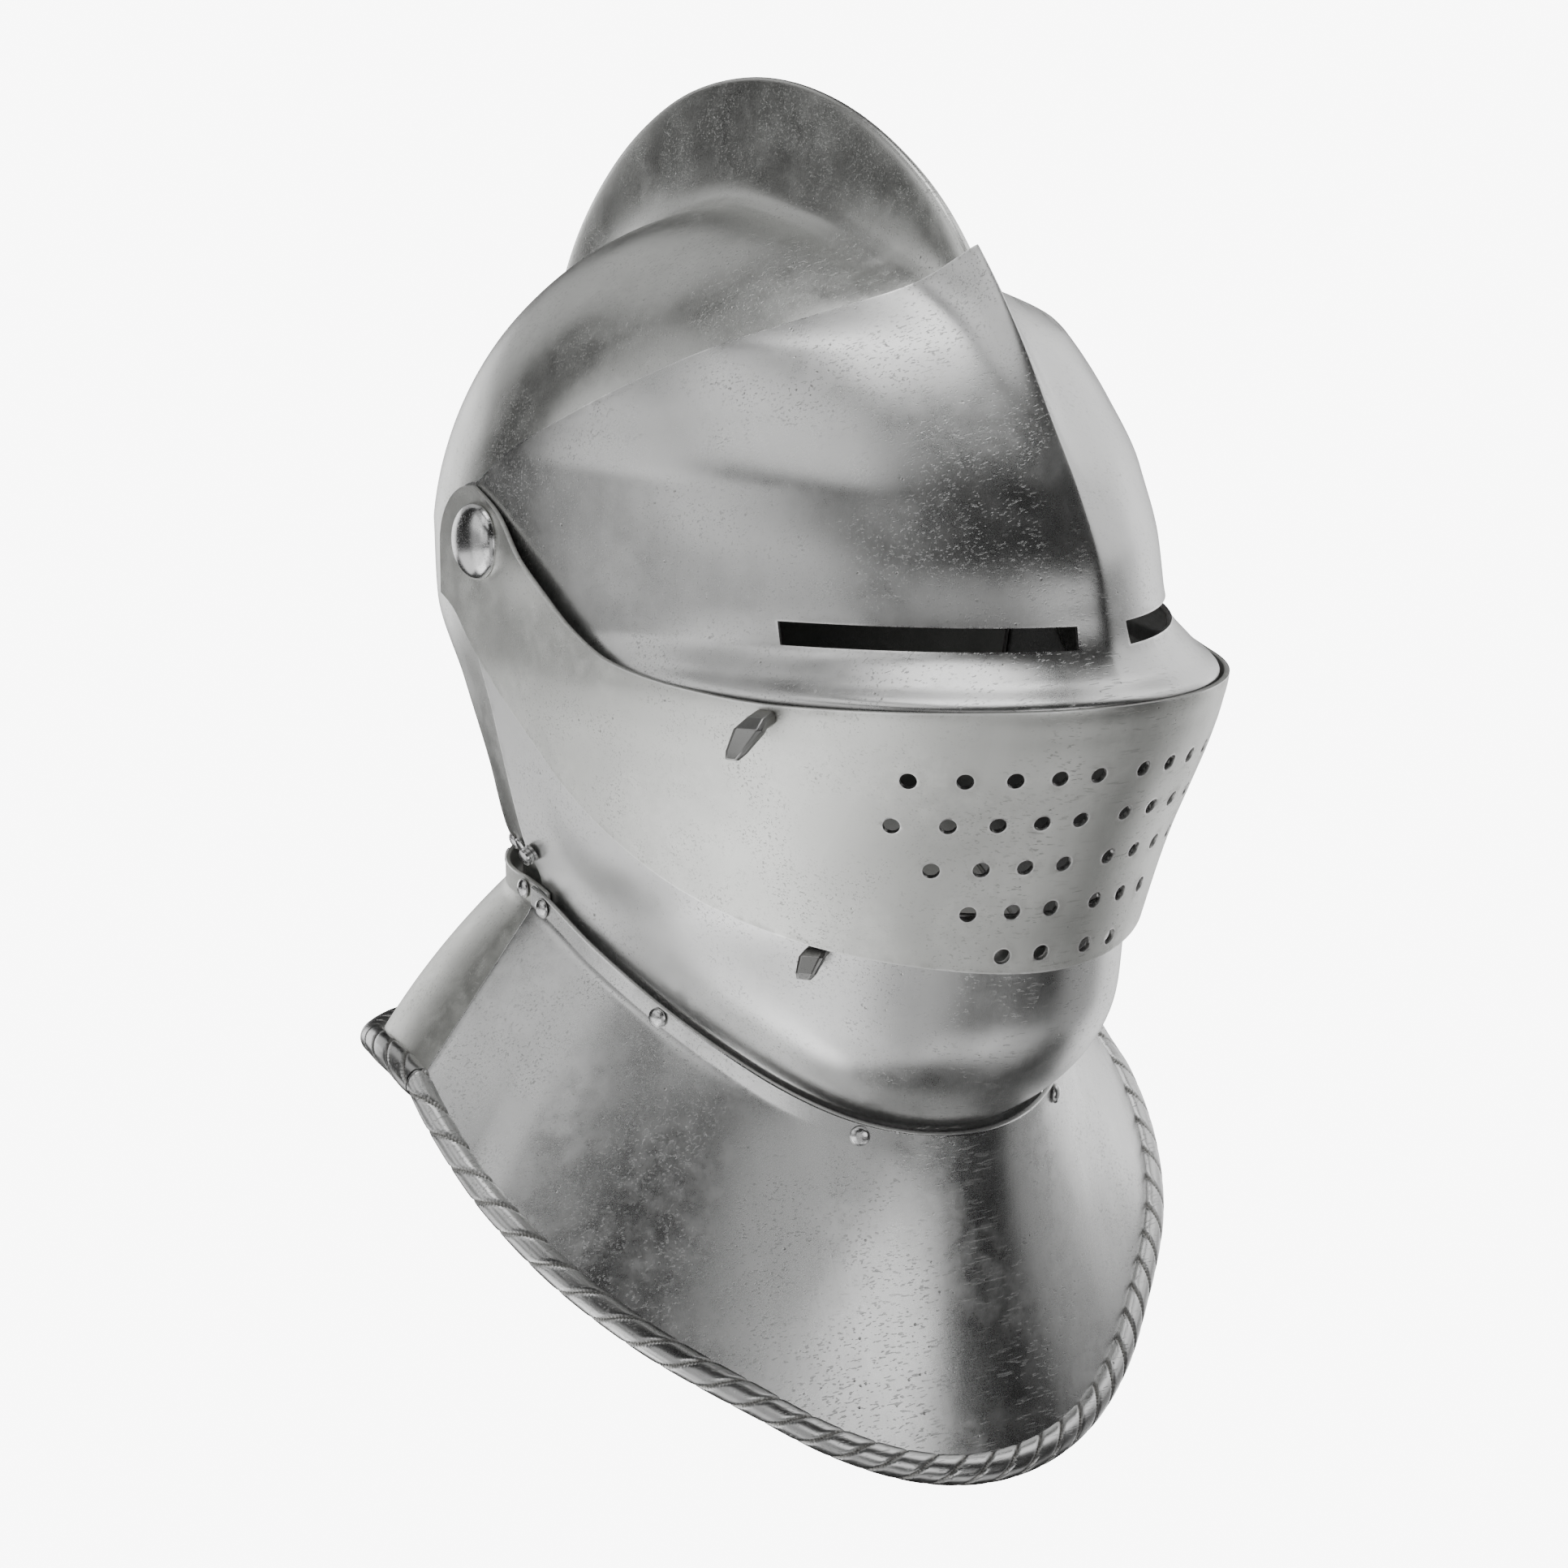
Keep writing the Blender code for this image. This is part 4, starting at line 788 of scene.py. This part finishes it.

# %% [markdown]
# Steel is all gloss and no colour of its own, so much of what tells one plate from another is how it was
# rubbed; the tints of the pieces also differ as painted light and shade, and the pegs are painted dark
# as painted shade. The finish is built in layers: broad cloudy patches left by polishing, a fine grain,
# fine scratches, small rust pits, a bright line where the rim has been handled, dirt near the rims, and
# painted shade in grooves and at the feet of small parts.
# A small class lets these layers be added and multiplied like ordinary numbers.

# %% Layers of a finish
def feed(tree, slot, value):
    """Links a node's input to a layer, or gives it a number."""
    if isinstance(value, Layer):
        tree.links.new(value.socket, slot)
    else:
        slot.default_value = value


class Layer:
    """Output of a shader node that can be added, multiplied and so on."""

    def __init__(self, tree, socket):
        self.tree, self.socket = tree, socket

    def maths(self, operation, a, b=0.0, clamp=False):
        made = self.tree.nodes.new("ShaderNodeMath")
        made.operation = operation
        made.use_clamp = clamp
        for slot, value in zip(made.inputs, (a, b)):
            feed(self.tree, slot, value)
        return Layer(self.tree, made.outputs[0])

    def __add__(self, other):
        return self.maths("ADD", self, other)

    def __radd__(self, other):
        return self.maths("ADD", other, self)

    def __sub__(self, other):
        return self.maths("SUBTRACT", self, other)

    def __rsub__(self, other):
        return self.maths("SUBTRACT", other, self)

    def __mul__(self, other):
        return self.maths("MULTIPLY", self, other)

    def __rmul__(self, other):
        return self.maths("MULTIPLY", other, self)

    def __truediv__(self, other):
        return self.maths("DIVIDE", self, other)

    def __rtruediv__(self, other):
        return self.maths("DIVIDE", other, self)

    def clipped(self):
        """Same value kept between 0 and 1."""
        return self.maths("ADD", self, 0.0, True)

    def step(self, low, high):
        """Smooth step from 0 at low to 1 at high."""
        made = self.tree.nodes.new("ShaderNodeMapRange")
        made.interpolation_type = "SMOOTHSTEP"
        rising = low < high
        for word, value in (("Value", self), ("From Min", min(low, high)), ("From Max", max(low, high)),
                            ("To Min", float(not rising)), ("To Max", float(rising))):
            feed(self.tree, made.inputs[word], value)
        return Layer(self.tree, made.outputs["Result"])


class Finish:
    """A material in the making: adds nodes and hands out their outputs as layers."""

    def __init__(self, name):
        self.material = bpy.data.materials.new(name)
        self.material.use_nodes = True
        self.tree = self.material.node_tree
        self.shader = next(n for n in self.tree.nodes if n.type == "BSDF_PRINCIPLED")
        self.place = self.node("ShaderNodeTexCoord", "Object")

    def node(self, kind, output, settings=None, **values):
        """Adds a node: its settings first, then its inputs, which are numbers or layers."""
        made = self.tree.nodes.new(kind)
        for word, value in (settings or {}).items():
            setattr(made, word, value)
        for word, value in values.items():
            feed(self.tree, made.inputs[word.replace("_", " ")], value)
        return Layer(self.tree, made.outputs[output])

    def turned_place(self, turn=(0, 0, 0), stretch=(1, 1, 1), move=(0, 0, 0)):
        """Place on the piece, turned in degrees and stretched, for marks that run one way."""
        return self.node("ShaderNodeMapping", "Vector", Vector=self.place, Location=move,
                         Rotation=tuple(math.radians(a) for a in turn), Scale=stretch)

    def noise(self, size_mm, detail=3.0, rough=0.55, warp=0.0, place=None):
        """Cloudy pattern with features of about this size, in millimetres."""
        return self.node("ShaderNodeTexNoise", 0, Vector=place or self.place, Scale=1000 / size_mm,
                         Detail=detail, Roughness=rough, Distortion=warp)

    def mark(self, word):
        """Number kept at every point of the piece."""
        return self.node("ShaderNodeAttribute", "Fac", {"attribute_name": word})

    def colour(self, share, first, second):
        """Colour between two others."""
        made = self.tree.nodes.new("ShaderNodeMix")
        made.data_type = "RGBA"
        slots = [s for s in made.inputs if s.type == "RGBA"]
        factor = next(s for s in made.inputs if s.type == "VALUE")
        for slot, value in zip([factor] + slots, (share, first, second)):
            feed(self.tree, slot, (*value, 1.0) if isinstance(value, tuple) else value)
        return Layer(self.tree, next(s for s in made.outputs if s.type == "RGBA"))

    def finish(self, colour, roughness, height, depth_mm):
        """Sends the layers to the shader; height is raised relief in shares of depth_mm."""
        self.tree.links.new(colour.socket, self.shader.inputs["Base Color"])
        self.tree.links.new(roughness.socket, self.shader.inputs["Roughness"])
        self.shader.inputs["Metallic"].default_value = 1.0
        bump = self.node("ShaderNodeBump", "Normal", Height=height, Distance=depth_mm / 1000,
                         Strength=1.0)
        self.tree.links.new(bump.socket, self.shader.inputs["Normal"])
        return self.material


def steel(name, tint, gloss, streak_turn, seed, brushed=0.5, worn=1.0, mottled=0.5):
    """Worn steel of a tint (three numbers) and a gloss, rubbed along a direction."""
    made = Finish(name)
    shift = (0.37 * seed, 0.19 * seed, 0.53 * seed)
    here = made.turned_place(move=shift)
    clouds = made.noise(38, 5, 0.62, 0.6, here)
    patches = made.noise(13, 6, 0.68, 0.4, here)
    grain = made.noise(1.1, 3, 0.6, 0, here)
    dust = made.noise(0.28, 2, 0.6, 0, here)
    stain = made.noise(6.5, 5, 0.70, 0.2, here).step(0.36, 0.68)
    stained = made.noise(30, 2, 0.5, 0.4, here).step(0.42, 0.60)
    lines = made.turned_place(streak_turn, (1.0, 0.05, 0.05), shift)
    streaks = made.noise(1.4, 4, 0.6, 0.2, lines)
    wide_streaks = made.noise(5.0, 3, 0.6, 0.6, lines)
    scratch = []
    for k, turn in enumerate(((10, 35, 20), (80, -30, 65), (-40, 60, -35))):
        thin = made.turned_place(turn, (0.07, 1.0, 1.0), (seed + k, 2 * k, seed))
        scratch.append(made.noise(0.75, 1, 0.5, 0.2, thin).step(0.67, 0.71))
    where = made.noise(24, 3, 0.6, 0.5, made.turned_place(move=(seed * 0.7, 1.3, 0.2))).step(0.34, 0.62)
    scratches = (scratch[0] + scratch[1] + scratch[2]).clipped() * where
    cell = made.node("ShaderNodeTexVoronoi", "Distance", Vector=here, Scale=260.0, Randomness=1.0)
    pick = made.noise(4.5, 2, 0.5, 0, here).step(0.50, 0.58)
    pits = cell.step(0.13, 0.06) * pick * where
    specks = made.noise(0.9, 2, 0.5, 0, here).step(0.72, 0.78) * patches.step(0.5, 0.66)
    rim, inside, painted_shade = made.mark("rim"), made.mark("inside"), made.mark("painted_shade")
    ragged = rim + patches * 0.7
    bright_rim = ragged.step(1.05, 0.5) * (1.0 - inside)
    # Real dirt in patches near the rims, plus painted shade in grooves and at the feet of small parts.
    rim_dirt_and_shade = (ragged.step(4.0, 1.0) * patches.step(0.46, 0.62) * 0.16 + painted_shade * 0.8).clipped()
    light = tuple(c * 1.07 for c in tint)
    dull = tuple(c * 0.90 for c in tint)
    base = made.colour((clouds * 0.6 + patches * 0.9 - 0.25).clipped(), dull, light)
    base = made.colour(stain * stained * (0.75 * mottled), base, tuple(c * 1.24 for c in tint))
    rubbed = tuple(c * 1.10 for c in light)
    base = made.colour(wide_streaks.step(0.42, 0.66) * (0.32 * brushed), base, rubbed)
    base = made.colour(streaks.step(0.5, 0.7) * (0.22 * brushed), base, dull)
    base = made.colour(specks * (0.30 * worn), base, tuple(c * 0.6 for c in tint))
    base = made.colour(pits * (0.5 * worn), base, (0.10, 0.095, 0.085))
    base = made.colour(scratches * (0.42 * worn), base, tuple(c * 0.45 for c in tint))
    # Dark colour for the rim dirt, and also for the painted shade in grooves and at feet.
    base = made.colour(rim_dirt_and_shade, base, (0.16, 0.155, 0.14))
    base = made.colour(bright_rim * 0.7, base, (0.86, 0.86, 0.85))
    base = made.colour(inside * 0.9, base, tuple(c * 0.34 for c in tint))
    rough = (gloss + (clouds - 0.5) * 0.10 + (patches - 0.5) * 0.16 + (dust - 0.5) * 0.14
             + stain * stained * (0.07 * mottled)
             + specks * 0.12 + scratches * 0.10 + rim_dirt_and_shade * 0.25 + inside * 0.25 - bright_rim * 0.06)
    swell = made.noise(46, 1, 0.4, 0, here)
    height = (swell * 0.30 + patches * 0.022 + grain * 0.010 + streaks * (0.010 * brushed)
              - pits * 0.07 * worn - scratches * 0.03 * worn - specks * 0.015)
    return made.finish(base, rough, height, 1.0)


# The tints below are painted light and shade: each piece's steel is set lighter or darker to the brightness
# its light gives it, so they are lit and shaded copies of one steel.
finishes = {
    "skull": steel("skull steel", (0.665, 0.67, 0.65), 0.32, (0, 25, 70), 1.0, 0.5, 1.0, 0.6),
    "visor": steel("visor steel", (0.635, 0.637, 0.63), 0.30, (20, -40, 30), 2.1, 0.3, 1.0, 0.35),
    "upper_bevor": steel("upper bevor steel", (0.685, 0.69, 0.665), 0.40, (0, 30, 15), 3.2, 0.4, 1.0, 0.8),
    "lower_bevor": steel("lower bevor steel", (0.70, 0.702, 0.695), 0.32, (0, 10, 40), 4.3, 0.3, 1.0, 0.4),
    "gorget_front": steel("front gorget steel", (0.60, 0.602, 0.597), 0.28, (0, 62, 20), 5.4, 0.6, 1.0,
                          1.0),
    "gorget_rear": steel("rear gorget steel", (0.66, 0.665, 0.635), 0.40, (0, 38, 80), 6.5, 1.0, 1.0, 1.0),
    "rivets": steel("rivet steel", (0.64, 0.64, 0.64), 0.22, (0, 0, 0), 7.6, 0.1, 0.6),
    "rope": steel("rope steel", (0.55, 0.552, 0.548), 0.30, (0, 0, 0), 8.7, 0.2, 1.0, 0.3),
    # Pegs: a dark tint as painted shade on their faces.
    "pegs": steel("peg steel painted dark", (0.30, 0.30, 0.295), 0.30, (0, 0, 0), 9.1, 0.2, 0.6, 0.2),
}
print("finishes:", sorted(finishes))

# %% [markdown]
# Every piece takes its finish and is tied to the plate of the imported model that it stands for, so
# that it turns with that plate on the pivots.

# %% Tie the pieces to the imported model
body_of = {node: body for body, nodes in frame["record"]["behaviour"]["bodies"].items() for node in nodes}
plates = {"skull": skull, "visor": visor, "upper_bevor": upper_bevor, "lower_bevor": lower_bevor,
          "gorget_front": gorget_front, "gorget_rear": gorget_rear}
rows = [(made, node, node) for node, made in plates.items()]
rows += [(made, node, "pegs" if node.endswith("peg") else "rivets") for made, node in small_parts]
rows += [(front_rope, "gorget_front", "rope"), (rear_rope, "gorget_rear", "rope")]
for made, node, finish in rows:
    made.data.materials.clear()
    made.data.materials.append(finishes[finish])
    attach(made, body_of[node])
    if finish != "rope":
        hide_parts(node)
print("pieces:", len(rows), " nodes replaced:", len({node for _, node, _ in rows}))

# %% [markdown]
# The photo is a studio shot: a pale ground without a hard shadow, and soft light from wide screens.
# Steel shows its surroundings, so each screen stands where the helmet's bright areas mirror it. The
# strongest stand overhead and low on the wearer's right, the next ones in front and behind, and the
# left side is lit from its own screens. Where no screen stands, the steel goes dark, as between the
# cheek and the keel.

# %% Screens of soft light
def panel(name, azimuth, height, distance, size, power, aim=(0.0, -0.02, -0.18)):
    """Soft screen of light, placed by its compass angle and its angle above the horizon."""
    a, e = math.radians(azimuth), math.radians(height)
    way = np.array((math.sin(a) * math.cos(e), -math.cos(a) * math.cos(e), math.sin(e)))
    lamp = bpy.data.lights.new(name, "AREA")
    lamp.shape = "RECTANGLE"
    lamp.size, lamp.size_y = size
    lamp.energy = power
    made = bpy.data.objects.new(name, lamp)
    made.location = np.array(aim) + way * distance
    facing = made.location - type(made.location)(aim)
    made.rotation_euler = facing.to_track_quat("Z", "Y").to_euler()
    bpy.context.scene.collection.objects.link(made)
    return made


SCREEN_FAR, SCREEN_SIZE = 2.2, (1.25, 1.0)
# Compass angle from the front, angle above the horizon, power in watts
SCREENS = (
    (0, 0, 7.9), (0, 85, 12.5), (-72, 50, 4.8), (-108, -25, 6.5), (-108, -50, 11.0), (-72, -25, 7.3),
    (-108, 25, 4.4), (-80, 12, 3.5), (-108, 50, 1.9), (-36, 0, 2.5), (-72, -50, 3.1), (108, 0, 5.2),
    (108, 25, 6.0), (-108, 0, 1.6), (0, -50, 2.5), (-36, -50, 2.0), (180, 0, 8.0), (-36, -25, 2.0),
    (36, -50, 2.4), (95, 0, 2.3), (180, 50, 2.3), (108, -25, 6.2), (72, 50, 7.2), (72, 25, 4.5),
    (72, 0, 1.3), (72, -25, 1.5), (180, 25, 2.2), (-144, -25, 5.0),
)
for azimuth, height, power in SCREENS:
    panel(f"screen {azimuth} {height}", azimuth, height, SCREEN_FAR, SCREEN_SIZE, power)
print("screens:", len(SCREENS), " total power, W:", round(sum(row[2] for row in SCREENS)))

# %% [markdown]
# The ground is a pale floor that runs up into a pale dome of the same shade, like the paper sweep of
# a studio, so no horizon shows behind the helmet. Both glow evenly and cast no light on the steel:
# the screens alone do that.

# %% Pale floor and dome
ground = bpy.data.materials.new("pale ground")
ground.use_nodes = True
ground_shader = next(n for n in ground.node_tree.nodes if n.type == "BSDF_PRINCIPLED")
ground_shader.inputs["Base Color"].default_value = (0.0, 0.0, 0.0, 1.0)
ground_shader.inputs["Roughness"].default_value = 1.0
ground_shader.inputs["Specular IOR Level"].default_value = 0.0
ground_shader.inputs["Emission Color"].default_value = (1.0, 1.0, 1.0, 1.0)
ground_shader.inputs["Emission Strength"].default_value = 8.6
DOME_R, FLOOR_GAP = 8.0, 0.004
floor_z = size_before[0][2] - FLOOR_GAP
turn = np.linspace(0, 2 * math.pi, 65)[:-1]
rise = np.linspace(0, math.pi / 2, 17)[:-1]
wide, high = DOME_R * np.cos(rise)[:, None], DOME_R * np.sin(rise)[:, None]
rings = np.stack(np.broadcast_arrays(wide * np.cos(turn), wide * np.sin(turn), high), -1)
*walls, floor_cap, top_cap = tube_faces(*rings.shape[:2])
for name, points, faces in (("floor", rings[0], [floor_cap]),
                            ("dome", rings.reshape(-1, 3), [face[::-1] for face in walls] + [top_cap])):
    mesh = bpy.data.meshes.new(name)
    mesh.from_pydata((points + (0, 0, floor_z)).tolist(), [], faces)
    made = bpy.data.objects.new(name, mesh)
    made.data.materials.append(ground)
    bpy.context.scene.collection.objects.link(made)
    made.visible_glossy = made.visible_diffuse = made.visible_shadow = False
world = bpy.data.worlds.new("studio")
bpy.context.scene.world = world
world.use_nodes = True
sky = next(n for n in world.node_tree.nodes if n.type == "BACKGROUND")
sky.inputs["Color"].default_value = (1.0, 1.0, 1.0, 1.0)
sky.inputs["Strength"].default_value = 0.012
print("floor at, m:", round(floor_z, 3))

# %% [markdown]
# The camera stands a little above the helmet, on its right, at the angle that the photo was fitted
# with: 36 degrees round from the front and 11.5 degrees up, seen through a long lens.

# %% Camera
view_azimuth, view_height, view_distance = -36.0, 11.5, 1.13
a, e = math.radians(view_azimuth), math.radians(view_height)
target = np.array((0.0, -0.014, -0.1819))
way = np.array((math.sin(a) * math.cos(e), -math.cos(a) * math.cos(e), math.sin(e)))
eye = target + view_distance * way
lens = bpy.data.cameras.new("photo view")
lens.sensor_width, lens.lens = 36.0, 81.35
camera = bpy.data.objects.new("photo view", lens)
camera.location = eye
camera.rotation_euler = type(camera.location)(target - eye).to_track_quat("-Z", "Y").to_euler()
bpy.context.scene.collection.objects.link(camera)
bpy.context.scene.camera = camera
print("camera at, m:", eye.round(3))
